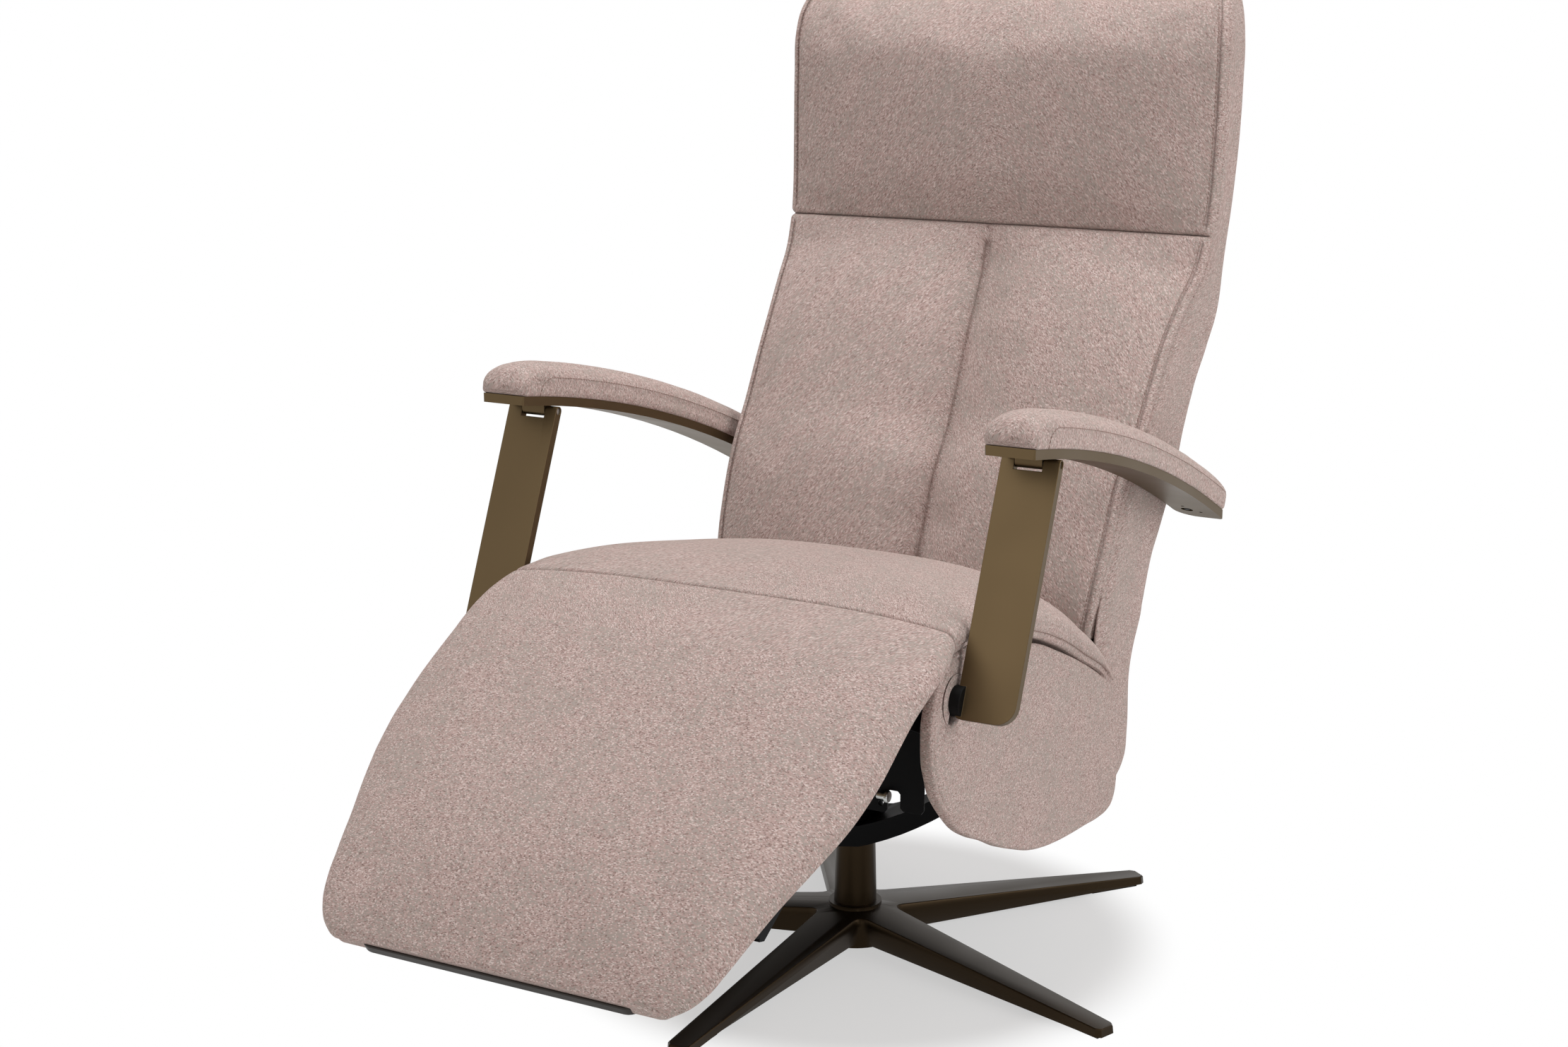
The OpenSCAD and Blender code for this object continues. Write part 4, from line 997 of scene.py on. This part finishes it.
@dataclass
class SidePanel:
    """An upholstered side panel round the opening for the post's boss."""

    finishes: Finishes
    side: Side
    outline: tuple = ((-286, 426), (-299, 419.5), (-311, 405), (-319, 390), (-325, 371), (-325.5, 351), (-323.5, 330),
                      (-317, 313), (-310, 297), (-289, 273), (-264, 251), (-231, 232), (-197, 217), (-163, 200),
                      (-128, 186), (-92, 173), (-55, 164), (-17, 158), (21, 154), (61, 151), (101, 148), (118, 148.5),
                      (134, 153), (143, 163), (148, 181), (148.5, 195), (141, 217), (134, 243), (121, 266),
                      (111, 290), (102, 306), (92, 313), (68, 326), (27, 346), (-31, 371), (-68, 386), (-115, 399.5),
                      (-150, 412), (-190, 420), (-240, 427.5), (-268, 428))
    inner: float = 234.5
    outer: float = 248.0
    hole: float = 22.5
    # the face stands this proud in the middle; radius of the rim's edge, and of the opening's and inner edges
    crown: float = 2.2
    edge: float = 4.0
    soft: float = 3.0
    # distances from the rim of the face's outer rows, and the row that the front's seam follows
    inward: tuple = (4.6, 5.2, 5.8, 6.5, 7.5, 9, 12, 16, 21, 27, 34)
    seam: float = 5.2

    def rim(self, count: int) -> Array:
        """The outline as a smooth closed line.

        Args:
            count: how many points.

        Returns:
            Evenly spaced points (y, z).
        """
        loop = np.array(self.outline, float)
        ring = np.concatenate((loop[-3:], loop, loop[:3]))
        s = chord(ring)
        at = np.linspace(s[3], s[3 + len(loop)], count, endpoint=False)
        return flow(s, ring, at)

    def sheet(self) -> tuple[Skin, Array]:
        """Rays from the opening's middle to the rim, each a closed section through the panel.

        A section goes from the rim by a quarter round onto the face, over the face to the opening, by a
        quarter round into it, back along the inner face and to the rim. The face rises by crown * (distance
        from the rim / the last of inward), and stays there further in.

        Returns:
            The skin, its rows the rays, and the points of the seam's whole loop.
        """
        rim, hub = self.rim(300), np.array(POST_FOOT)
        ray = rim - hub
        ray = ray / np.linalg.norm(ray, axis=1, keepdims=True)
        along = np.roll(rim, -1, 0) - np.roll(rim, 1, 0)
        out = np.stack((along[:, 1], -along[:, 0]), axis=1)
        out /= np.linalg.norm(out, axis=1, keepdims=True)
        out *= np.sign(np.sum(out * ray))
        bite = np.clip(np.sum(out * ray, axis=1, keepdims=True), 0.35, 1.0)
        arc, turn = np.linspace(0, np.pi / 2, 6), np.linspace(0, np.pi / 2, 5)[1:]
        inward = np.concatenate((self.edge * (1 - np.sin(arc))[::-1], self.inward))
        drop = np.concatenate((self.edge * (1 - np.cos(arc))[::-1], np.zeros(len(self.inward))))
        share = np.linspace(0, 1, 26)[1:]
        last = rim - ray * (inward[-1] / bite)
        mouth = self.hole + self.soft * (1 - np.sin(turn))
        yz = np.concatenate((
            rim - ray * (inward[:, None, None] / bite),
            last + (hub + ray * (self.hole + self.soft) - last) * share[:, None, None],
            hub + ray * mouth[:, None, None],
            np.stack((hub + ray * self.hole, rim - ray * self.soft / bite, rim))))
        x = np.concatenate((
            self.outer - drop + self.crown * (inward / inward[-1]),
            np.full(len(share), self.outer + self.crown),
            self.outer + self.crown - self.soft * (1 - np.cos(turn)),
            (self.inner, self.inner, self.inner + self.soft))) * self.side.value
        grid = np.concatenate((np.broadcast_to(x[:, None, None], yz.shape[:2] + (1,)), yz), axis=2).transpose(1, 0, 2)
        grid = np.concatenate((grid, grid[:1]))
        return Skin(grid), grid[:, nearest(inward, self.seam)]

    def build(self) -> list[bpy.types.Object]:
        """The panel's skin, with a seam pressed in round its front.

        Returns:
            The panel.
        """
        skin, loop = self.sheet()
        front = np.flatnonzero((loop[:, 1] < -250) & (loop[:, 2] > 255))
        start = front[np.argmax(np.diff(np.concatenate((front[-1:] - len(loop), front))) > 1)]
        skin.press(loop[(start + np.arange(len(front))) % (len(loop) - 1)], width=1.3, depth=1.7)
        wrap = np.concatenate((skin.points, skin.points[:, :1]), axis=1) * 0.001
        flat = (wrap[:, :, 1] + self.side.value * wrap[:, :, 0], wrap[:, :, 2])
        made = sewn(f"side_panel_skin_{self.side.name.lower()}", skin, start=False, end=False, weave=flat)
        face_out(made, 1e-6)
        dress(made, self.finishes.weave)
        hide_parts(f"side_panel_{self.side.name.lower()}")
        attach(made, "seat")
        return [made]


# the back's lines: y, z of the front edge, y, z of the rear edge, half width
BACK = ((87, 345, 232, 342, 242), (98, 398, 241, 360, 242), (119, 453, 260, 402, 242.5), (145, 508, 276, 430, 245),
        (186, 559, 302, 485, 250), (215, 605, 322, 536, 252), (248, 652, 343, 580, 254.5), (284, 694, 367, 620, 260),
        (312, 723, 389, 665, 265), (330, 761.1, 405, 744.9, 268))
HEADREST = ((330.2, 761.35, 408, 745.5, 268), (337, 795, 416, 790, 270), (341, 846, 426, 843, 271.5),
            (344.5, 930, 432.5, 928, 272.5), (347, 975, 434, 975, 272), (355, 1002, 433, 1005, 269),
            (369, 1021, 428, 1026, 263), (388, 1032, 414, 1034, 254))
TAIL = ((112, 176, 162, 162, 236), (103, 185, 182, 172, 239), (93, 202, 199, 188, 241), (84, 240, 206, 226, 242),
        (84, 290, 207, 292, 242), (92, 326, 220, 324, 242))
# the centre channel: distance up the front, depth, width, and how far it stands to the sitter's left
CHANNEL = ((0, 27, 26, 13), (120, 28, 26, 12.5), (240, 27, 25, 10.5), (340, 24, 23, 8), (420, 19, 18, 5),
           (470, 8, 10, 1.5), (500, 0, 8, 0))


@dataclass
class FrontCushion:
    """Backrest or headrest cushion: front panel, a seam inside its edge, a strip round the edge."""

    finishes: Finishes
    name: str
    node: str
    body: str
    lines: tuple
    rise: tuple
    rows: int
    channel: tuple | None = None
    draw: tuple = (0.0,)
    inside: float = 8.0
    # column place where the strip's edge is pressed in, and one millimetre there
    strip: float = 0.93
    strip_mm: float = 1 / 30.5

    def form(self) -> PaddedForm:
        """Sections stand square to the line from front to rear edge; the first rows are narrower by draw.

        Returns:
            The cushion as a padded form along its front line.
        """
        rows = np.array(self.lines, float)
        way = rows[:, :2] - rows[:, 2:4]
        deep = np.linalg.norm(way, axis=1)
        lean = np.degrees(np.arctan2(-way[:, 0], way[:, 1]))
        depth = np.where(deep > 70, 40.0, np.clip(deep * 0.35, 9.5, 40))
        half = rows[:, 4] - np.pad(self.draw, (0, len(rows) - len(self.draw)))
        table = np.column_stack((rows[:, :2], lean, half, depth, self.rise, np.zeros(len(rows))))
        return PaddedForm(chord(rows[:, :2]), table, corner=7.5, rear=2.0, ends=6.5, power=2.8,
                          channel=None if self.channel is None else np.array(self.channel, float))

    def build(self) -> list[bpy.types.Object]:
        """Cloth blows the panels up between the sewn lines; seams are pressed in and topstitched after.

        Returns:
            The cushion and its topstitching.
        """
        form = self.form()
        left = form.column_of(self.inside)
        unit = BAND / BAND_MM
        middle = [2.5] if self.channel else []
        rows = spread([(0, 1, 4), (1, 2, 6), (2, 3, self.rows), (3, 4, 7), (4, 5, 4)])
        cols = spread([(0, 1, 5), (1, 2, 6), (2, 2.15, 14), (2.15, 2.85, 76), (2.85, 3, 14), (3, 4, 6), (4, 5, 5),
                       (5, 6, 3), (6, 7, 8), (7, 7.7, 3)],
                      [*near(left, 3.5, unit), *near(5 - left, 3.5, unit),
                       *(k for place in middle for k in near(place, 8.0, 0.7 / 410.0)),
                       *near(self.strip, 3.0, self.strip_mm), *near(5 - self.strip, 3.0, self.strip_mm)])
        skin = upholstered(form, rows, cols, pressure=4.0, growth=0.012, cap=12.0, reach=(2.0, 3.0),
                           held=[left, 5 - left, *middle])
        span = (rows > 2.0) & (rows < 3.0)
        lines = [skin.points[span, nearest(cols, place)] for place in (left, 5 - left)]
        for line in lines:
            skin.press(line, width=1.9, depth=2.4)
        for place in (self.strip, 5 - self.strip):
            skin.press(skin.points[span, nearest(cols, place)], width=2.0, depth=2.2)
        for place in middle:
            skin.press(skin.points[span & (rows < 2.965), nearest(cols, place)], width=3.2, depth=5.0)
        made = sewn(self.name, skin)
        dress(made, self.finishes.weave)
        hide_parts(self.node)
        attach(made, self.body)
        sewing = stitches(f"{self.name}_stitches", [skin.lay(even_line(line, 3.0) + (shift, 0, 0))
                                                    for line, shift in zip(lines, (2.4, -2.4))])
        dress(sewing, self.finishes.thread)
        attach(sewing, self.body)
        return [made, sewing]


@dataclass
class BackCover:
    """Cover of sides and rear in one run from the tail to the top, open in front where the cushions sit."""

    finishes: Finishes
    # by height: how far behind the cushions' front edge the cover starts, and how far its sides stand out
    lip: tuple = ((300.0, 0.5), (360.0, 12.5), (500.0, 12.5), (580.0, 7.0))
    bulge: tuple = ((600.0, 4.0), (640.0, 4.5), (700.0, 2.5), (761.0, 1.0), (800.0, 0.3))
    tuck: float = 2.5
    draw: float = 18.0
    wall: float = 7.0
    round_mm: float = 34.0
    crown: float = 5.0
    # height where the top starts to close, and over how much
    top: tuple = (1004.0, 22.0)

    def section(self, row: Array, front: float) -> Array:
        """One section of the cover.

        From the right lip along the side, a quarter round at the rear, over a rear that is crowned by crown
        * (1 - (x / half) squared), the same on the left, then back along the inner face one wall further
        in. The sides stand puff outside the cushion and draw in below its skin at the lip by (puff + tuck)
        * (1 - share) ** 2, share being the way from the lip over draw. At the top the rear wall grows
        forward to the cushion, so that nothing stays open there.

        Args:
            row: y, z of the front edge, y, z of the rear edge, half width.
            front: where the lip stands behind the front edge, in millimetres.

        Returns:
            Points (x, depth behind the front edge).
        """
        deep, half = math.hypot(row[2] - row[0], row[3] - row[1]), row[4]
        close = float(np.clip((row[1] - self.top[0]) / self.top[1], 0, 1))
        lip = min(front, deep * 0.42) - 2.5 * close
        start = lip + 3.0
        r = min(self.round_mm, (deep - lip) * 0.45)
        puff = float(np.interp(row[1], *np.transpose(self.bulge))) * min(1.0, deep / 90.0)
        down = start + (deep - r - start) * np.linspace(0, 1, 18) ** 1.4
        share = np.clip((down - start) / self.draw, 0, 1)
        side = np.column_stack((half - self.tuck + (puff + self.tuck) * (1 - (1 - share) ** 2), down))
        wide = side[-1, 0]
        a, b = np.linspace(0, np.pi / 2, 10), np.linspace(0, np.pi, 7)[1:-1]
        turn = np.column_stack((wide - r + r * np.cos(a), deep - r + r * np.sin(a)))[1:]
        x = np.linspace(wide - r, -(wide - r), 48)[1:-1]
        rear = np.column_stack((x, deep + self.crown * (1 - (x / (wide - r)) ** 2)))
        wall = min(self.wall, r * 0.8)
        bed = (deep - wall) * (1 - close) + (lip + 5.0) * close
        edge = np.column_stack((2.0 - half + self.tuck - 2.0 * np.cos(b), start - 3.0 * np.sin(b)))
        inner = np.column_stack((np.full(6, wall - half), np.linspace(lip + 4.0, bed, 6)))
        flat = np.column_stack((np.linspace(wall - half, half - wall, 16)[1:-1], np.full(14, bed)))
        other = (-1, 1)
        return np.concatenate((side, turn, rear, (turn * other)[::-1], (side * other)[::-1], edge, inner, flat,
                               (inner * other)[::-1], (edge * other)[::-1]))

    @staticmethod
    def shrunk(ring: Array, share: float) -> Array:
        """A section drawn in by a share towards its middle line, which closes an end."""
        left = 1 - share
        return ring * (1, left, left) + np.array((0, *ring[:, 1:].mean(0))) * (0, share, share)

    def build(self) -> list[bpy.types.Object]:
        """Sections between the front and rear lines, closed at the top and under the tail.

        Returns:
            The cover.
        """
        lines = np.array([*TAIL, *BACK, *HEADREST[1:]], float)
        s = chord(lines[:, :2])
        rows = flow(s, lines, np.linspace(s[0], s[-1], 170))
        grid = []
        for row, front in zip(rows, np.interp(rows[:, 1], *np.transpose(self.lip))):
            sec = self.section(row, front)
            q = (row[2:4] - row[:2]) / math.hypot(*(row[2:4] - row[:2]))
            grid.append(np.column_stack((sec[:, 0], row[0] + q[0] * sec[:, 1], row[1] + q[1] * sec[:, 1])))
        skin = Skin(np.array([self.shrunk(grid[0], 1.0), self.shrunk(grid[0], 0.5), *grid,
                              self.shrunk(grid[-1], 0.5), self.shrunk(grid[-1], 1.0)]))
        made = sewn("back_cover", skin, start=False, end=False)
        dress(made, self.finishes.weave)
        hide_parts("back_shell", "headrest_shell")
        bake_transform(made)
        return [made]


@dataclass
class ArmPad:
    """A padded arm on its curved plate: boxed sides, a crowned top that wraps over the front end."""

    finishes: Finishes
    side: Side
    # y, z of the plate's front end, its slope there in degrees, its radius and thickness
    front: tuple = (-247.084, 614.251)
    slope: float = 8.0
    radius: float = 1790.0
    plate: float = 9.5
    half: float = 27.5
    across: float = 285.0
    # distance along the arm, height over the plate, rise
    table: tuple = ((-6, 17, 2.5), (4, 22, 3.5), (14, 25, 4.5), (28, 27, 5), (80, 28, 5), (180, 28, 5), (300, 28, 5),
                    (420, 28, 5), (500, 27.5, 5), (540, 27, 4), (559, 25, 3))
    # the side seam: distances along the arm where it starts, has risen and ends, share of it that rises
    seam: tuple = (27, 51, 548, 0.12)

    def on_arc(self, e: Array, d: Array) -> Array:
        """A place on the arm, which follows an arc of the plate's radius.

        Args:
            e: distance along the arm.
            d: height above the plate's underside, square to the arc.

        Returns:
            Its y and z.
        """
        a0 = math.radians(self.slope)
        a = a0 + e / self.radius
        return np.stack((self.front[0] + self.radius * (np.sin(a) - math.sin(a0)) + d * np.sin(a),
                         self.front[1] + self.radius * (np.cos(a) - math.cos(a0)) + d * np.cos(a)), axis=-1)

    def seam_line(self, side: int) -> Array:
        """The seam on one side: a quarter of an ellipse up from the plate, then along under the top's edge.

        Args:
            side: 1 for the sitter's left side of the pad, -1 for the right.

        Returns:
            Points of the line.
        """
        e, tall, _ = np.array(self.table, float).T
        start, risen, end, share = self.seam
        run = np.linspace(0, 1, 110)
        turn = np.clip(run / share, 0, 1) * math.pi / 2
        reach = np.where(run < share, start + (risen - start) * (1 - np.cos(turn)),
                         risen + (end - risen) * (run - share) / (1 - share))
        path = self.on_arc(reach, self.plate + 2 + (np.interp(reach, e, tall) - 6.5) * np.sin(turn))
        return np.column_stack((np.full(len(path), side * (self.half - 0.6)), path))

    def build(self) -> list[bpy.types.Object]:
        """The form is swollen by cloth, then its side seams are pressed in and stitched.

        Returns:
            The pad and its topstitching.
        """
        e, tall, rise = np.array(self.table, float).T
        lean = -(self.slope + np.degrees(e / self.radius))
        table = np.column_stack((self.on_arc(e, self.plate + tall), lean, np.full(len(e), self.half), tall, rise,
                                 np.zeros(len(e))))
        form = PaddedForm(e, table, corner=11.0, rear=2.5, ends=11.0, power=2.4)
        rows = spread([(0, 1, 5), (1, 2, 9), (2, 3, 190), (3, 4, 9), (4, 5, 5)])
        cols = spread([(0, 1, 9), (1, 2, 10), (2, 3, 24), (3, 4, 10), (4, 5, 9), (5, 6, 3), (6, 7, 6), (7, 7.7, 3)])
        skin = upholstered(form, rows, cols, pressure=2.5, growth=0.006, cap=3.0, reach=(0.5, 4.5))
        lines = [self.seam_line(side) for side in (-1, 1)]
        for line in lines:
            skin.press(line, width=1.5, depth=1.2)
        shift = np.array((self.across * self.side.value, 0, 0))
        laid = [skin.lay(even_line(line, 3.0) + (0, 0, -2.8)) for line in lines]
        thread = [(points + shift, normals) for points, normals in laid]
        skin.points = skin.points + shift
        name = self.side.name.lower()
        body = f"arm_{name[0]}"
        made = sewn(f"arm_pad_skin_{name}", skin)
        dress(made, self.finishes.weave)
        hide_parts(f"arm_pad_{name}")
        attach(made, body)
        sewing = stitches(f"arm_stitches_{name}", thread)
        dress(sewing, self.finishes.thread)
        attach(sewing, body)
        return [made, sewing]


# ---- metal ----


@dataclass
class MetalWork:
    """The metal and the hidden parts: broken edges on what shows, and a finish on every node."""

    finishes: Finishes
    # the post's boss, whose faces are made black as painted shade, ends this far from the middle, and has this radius
    blade: float = 263.0
    boss: float = 16.5
    # the nodes shown by a copy with broken edges, and the edges' width in millimetres
    bevelled: tuple = (("post_left", 1.0), ("post_right", 1.0), ("arm_plate_left", 0.9), ("arm_plate_right", 0.9),
                       ("star_base", 1.0), ("foot_plate", 1.2), ("swivel_cradle", 1.0))

    def build(self) -> list[bpy.types.Object]:
        """Every node gets its slot's finish; those in the list are shown by a copy with rounded edges.

        Returns:
            The copies.
        """
        slots = {part["node"]: part["material_slot"] for part in frame["record"]["subparts"]}
        for name, made in frame["nodes"].items():
            made.data.materials.clear()
            made.data.materials.append(self.finishes.by_slot(slots[name], name))
        return [self.broken_edges(name, width, slots[name]) for name, width in self.bevelled]

    def broken_edges(self, name: str, width: float, slot: str) -> bpy.types.Object:
        """A merged copy of a node whose sharp edges are rounded by a bevel.

        Args:
            name: the node.
            width: the bevel's width in millimetres.
            slot: the record's material slot.

        Returns:
            The copy, which replaces the node.
        """
        source = frame["nodes"][name]
        work = bmesh.new()
        work.from_mesh(source.data)
        bmesh.ops.remove_doubles(work, verts=work.verts, dist=2e-6)
        bmesh.ops.dissolve_limit(work, angle_limit=math.radians(0.6), verts=work.verts, edges=work.edges)
        bmesh.ops.recalc_face_normals(work, faces=work.faces)
        mesh = bpy.data.meshes.new(f"{name}_finished")
        work.to_mesh(mesh)
        work.free()
        mesh.polygons.foreach_set("use_smooth", np.ones(len(mesh.polygons), bool))
        mesh.set_sharp_from_angle(angle=math.radians(28))
        made = linked(f"{name}_finished", mesh)
        edge = made.modifiers.new("edges", "BEVEL")
        edge.width, edge.segments, edge.limit_method = width * 0.001, 2, "ANGLE"
        edge.angle_limit = math.radians(40)
        edge.harden_normals = True
        edge.use_clamp_overlap = True
        dress(made, self.finishes.by_slot(slot, name))
        if name.startswith("post_"):
            # painted shade: the boss inside the side panel's opening is made black
            self.paint_boss_shade(mesh)
        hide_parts(name)
        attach(made, source["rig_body"])
        return made

    def paint_boss_shade(self, mesh: bpy.types.Mesh) -> None:
        """Paints the boss that enters the side panel black as painted shade for the dark opening round it: the faces
        round the post's axle get the black nylon finish.

        Args:
            mesh: the post's mesh.
        """
        mesh.materials.append(self.finishes.plastic)
        middle = np.abs((read(mesh.polygons, "center") - SWIVEL) * 1000 - (0, *POST_FOOT))
        boss = (middle[:, 0] < self.blade) & (np.hypot(middle[:, 1], middle[:, 2]) < self.boss)
        mesh.polygons.foreach_set("material_index", boss.astype(np.int32))


@dataclass
class FrontSheet:
    """The black pressed sheet that closes the mechanism behind the leg rest, with its two stop bolts."""

    finishes: Finishes
    y: float = -235.0
    # x, z of half the outline, from the middle of the top round to the middle of the bottom
    half: tuple = ((0, 356), (180, 356), (190, 352), (197, 344), (197, 252), (194, 248), (175, 248), (172, 251),
                   (172, 265), (169, 268), (160, 268), (157, 265), (157, 247), (155, 244), (128, 244), (120, 250),
                   (114, 266), (106, 272), (0, 272))
    # x, z and radius of a hole
    hole: tuple = (150.5, 253.0, 3.4)
    # x, z of a bolt's axis, and radius and distance along it of its profile, which starts this far before the sheet
    axis: tuple = (149.0, 262.5)
    before: float = 6.5
    bolt: tuple = ((0, 0), (3.0, 0), (3.6, 0.6), (3.6, 9), (5.6, 9.4), (6.0, 10), (6.0, 12.6), (5.4, 13.4), (0, 13.6))

    def build(self) -> list[bpy.types.Object]:
        """The sheet is a filled outline with broken edges; the bolts are turned profiles.

        Returns:
            The sheet and the bolts.
        """
        half = np.array(self.half, float)
        a = np.arange(20) * math.pi / 10
        rings = [np.concatenate((half, half[-2:0:-1] * (-1, 1)))]
        x, z, r = self.hole
        rings += [np.column_stack((s * x + r * np.cos(a), z + r * np.sin(a))) for s in (1, -1)]
        curve = bpy.data.curves.new("front_sheet", "CURVE")
        curve.dimensions, curve.fill_mode, curve.extrude, curve.bevel_depth = "2D", "BOTH", 0.8, 0.4
        for ring in rings:
            line = curve.splines.new("POLY")
            line.points.add(len(ring) - 1)
            line.points.foreach_set("co", np.column_stack((ring, np.zeros(len(ring)), np.ones(len(ring)))).ravel())
            line.use_cyclic_u = True
        drawn = bpy.data.objects.new("front_sheet_line", curve)
        mesh = bpy.data.meshes.new_from_object(drawn)
        bpy.data.objects.remove(drawn)
        flat = read(mesh.vertices, "co").astype(float)
        mesh.vertices.foreach_set("co", placed(np.column_stack((flat[:, 0], self.y + flat[:, 2], flat[:, 1]))).ravel())
        sheet = linked("front_sheet", mesh)
        face_out(sheet)
        bolts = self.bolts()
        dress(sheet, self.finishes.black_steel)
        dress(bolts, self.finishes.zinc)
        for made in (sheet, bolts):
            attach(made, "seat")
        return [sheet, bolts]

    def bolts(self) -> bpy.types.Object:
        """Two bolts along X beside the openings, each a profile of radius and length turned once.

        Returns:
            Both as one piece.
        """
        profile = np.array(self.bolt, float)
        a = np.arange(20) * math.pi / 10
        turn = np.stack((np.broadcast_to(profile[:, 1:2], (len(profile), 20)), profile[:, :1] * np.cos(a),
                         profile[:, :1] * np.sin(a)), axis=2)
        points = np.concatenate([turn * (s, 1, 1) + (s * self.axis[0], self.y - self.before, self.axis[1])
                                 for s in (1, -1)])
        rows, cols = np.meshgrid(np.arange(len(profile) - 1), np.arange(20), indexing="ij")
        ring = np.stack((rows * 20 + cols, rows * 20 + (cols + 1) % 20, (rows + 1) * 20 + (cols + 1) % 20,
                         (rows + 1) * 20 + cols), axis=2).reshape(-1, 4)
        mesh = bpy.data.meshes.new("stop_bolts")
        mesh.from_pydata(placed(points.reshape(-1, 3)).tolist(), [],
                         np.concatenate((ring, ring + len(profile) * 20)).tolist())
        made = linked("stop_bolts", mesh)
        face_out(made)
        return made


# ---- studio ----


def seen_rays(tree: bpy.types.NodeTree) -> bpy.types.NodeSocket:
    """1 for camera, mirror and see-through rays, and 0 for the rays that carry light.

    Args:
        tree: the nodes that ask.

    Returns:
        The value.
    """
    path = node(tree, "ShaderNodeLightPath")
    seen = path.outputs["Is Camera Ray"]
    for ray in ("Is Glossy Ray", "Is Transmission Ray"):
        seen = node(tree, "ShaderNodeMath", {0: seen, 1: path.outputs[ray]}, operation="MAXIMUM").outputs[0]
    return seen


@dataclass
class Studio:
    """Pale floor, soft light and the photograph's camera."""

    eye: tuple = (1.17855, -2.13821, 1.06075)
    tilt: float = 76.94
    turn: float = 29.28
    lens: float = 55.82
    # the floor glows this much for the camera; from the second distance on, in metres, it is white
    lift: float = 0.535
    shade_reach: tuple = (0.275, 0.365)
    # name, place, size in metres and power in watts of each lamp, and what they aim at
    lights: tuple = (("key", (-0.1, 0.3, 3.4), 1.4, 56.0), ("side", (2.9, 0.3, 1.5), 1.8, 36.0),
                     ("front", (-0.6, -3.0, 2.0), 2.4, 19.0))
    aim: tuple = (0.0, 0.05, 0.5)

    def build(self) -> None:
        """Sets up everything that is not the chair."""
        self.camera()
        self.world()
        self.lamps()
        self.floor()

    def camera(self) -> None:
        """The camera that the photograph was solved to."""
        data = bpy.data.cameras.new("camera")
        data.lens, data.sensor_width, data.sensor_fit = self.lens, 36.0, "HORIZONTAL"
        made = linked("camera", data)
        made.location = self.eye
        made.rotation_euler = (math.radians(self.tilt), 0.0, math.radians(self.turn))
        bpy.context.scene.camera = made

    def world(self) -> None:
        """A soft grey sky lights the chair; camera, mirror and see-through rays meet white."""
        world = bpy.data.worlds.new("studio")
        bpy.context.scene.world = world
        world.use_nodes = True
        tree = world.node_tree
        tree.nodes.clear()
        sky = node(tree, "ShaderNodeBackground", {"Color": linear("#fff6f1"), "Strength": 0.42})
        white = node(tree, "ShaderNodeBackground", {"Color": (1, 1, 1, 1), "Strength": 1.0})
        mix = node(tree, "ShaderNodeMixShader", {0: seen_rays(tree), 1: sky.outputs[0], 2: white.outputs[0]})
        node(tree, "ShaderNodeOutputWorld", {"Surface": mix.outputs[0]})

    def lamps(self) -> None:
        """A soft key above and a little behind, weak ones from the right and the front."""
        for name, place, size, power in self.lights:
            data = bpy.data.lights.new(name, "AREA")
            data.shape, data.size, data.energy = "DISK", size, power
            made = linked(name, data)
            made.location = place
            made.rotation_euler = (Vector(self.aim) - Vector(place)).to_track_quat("-Z", "Y").to_euler()

    def floor(self) -> None:
        """A wide plain floor, lifted to white for the camera but for the shade round the base."""
        mesh = bpy.data.meshes.new("floor")
        mesh.from_pydata([(-30, -30, 0), (30, -30, 0), (30, 30, 0), (-30, 30, 0)], [], [(0, 1, 2, 3)])
        made = linked("floor", mesh)
        material, tree, out = blank("floor_paint")
        seen = seen_rays(tree)
        spot = node(tree, "ShaderNodeTexCoord").outputs["Object"]
        away = node(tree, "ShaderNodeVectorMath", {0: spot, 1: tuple(SWIVEL)}, operation="DISTANCE").outputs["Value"]
        far = node(tree, "ShaderNodeMapRange", {"Value": away, "From Min": self.shade_reach[0],
                                                "From Max": self.shade_reach[1]},
                   interpolation_type="SMOOTHSTEP").outputs["Result"]
        far = node(tree, "ShaderNodeMath", {0: far, 1: seen}, operation="MULTIPLY").outputs[0]
        tone = node(tree, "ShaderNodeMapRange", {"Value": seen, "To Min": 0.86, "To Max": 0.3}).outputs["Result"]
        paint = node(tree, "ShaderNodeBsdfDiffuse", {"Color": tone})
        lift = node(tree, "ShaderNodeMath", {0: seen, 1: self.lift}, operation="MULTIPLY").outputs[0]
        glow = node(tree, "ShaderNodeEmission", {"Color": (1, 1, 1, 1), "Strength": lift})
        near_floor = node(tree, "ShaderNodeAddShader", {0: paint.outputs[0], 1: glow.outputs[0]}).outputs[0]
        white = node(tree, "ShaderNodeEmission", {"Color": (1, 1, 1, 1), "Strength": 1.0}).outputs[0]
        both = node(tree, "ShaderNodeMixShader", {0: far, 1: near_floor, 2: white}).outputs[0]
        tree.links.new(both, out.inputs["Surface"])
        mesh.materials.append(material)


def main() -> None:
    """Builds the studio and every sub-assembly, and reports each piece."""
    logging.basicConfig(level=logging.INFO, format="%(name)s: %(message)s")
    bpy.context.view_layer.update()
    bpy.context.scene.view_settings.view_transform = "Standard"
    finishes = Finishes()
    for part in (
        Studio(), MetalWork(finishes), FrontSheet(finishes), LegRest(finishes), SeatCushion(finishes),
        SeatGusset(finishes), SidePanel(finishes, Side.LEFT), SidePanel(finishes, Side.RIGHT),
        FrontCushion(finishes, "back_cushion_skin", "back_cushion", "back", BACK,
                     rise=(4, 3, 1, 0, 0, 2, 6, 10, 12, 7), rows=130, channel=CHANNEL, draw=(10, 4)),
        FrontCushion(finishes, "headrest_cushion_skin", "headrest_cushion", "headrest", HEADREST,
                     rise=(7, 14, 15, 14, 12, 9, 6, 3), rows=86),
        BackCover(finishes), ArmPad(finishes, Side.LEFT), ArmPad(finishes, Side.RIGHT),
    ):
        for made in part.build() or []:
            LOG.info("%s: %d faces", made.name, len(made.data.polygons))


if __name__ == "__main__":
    main()
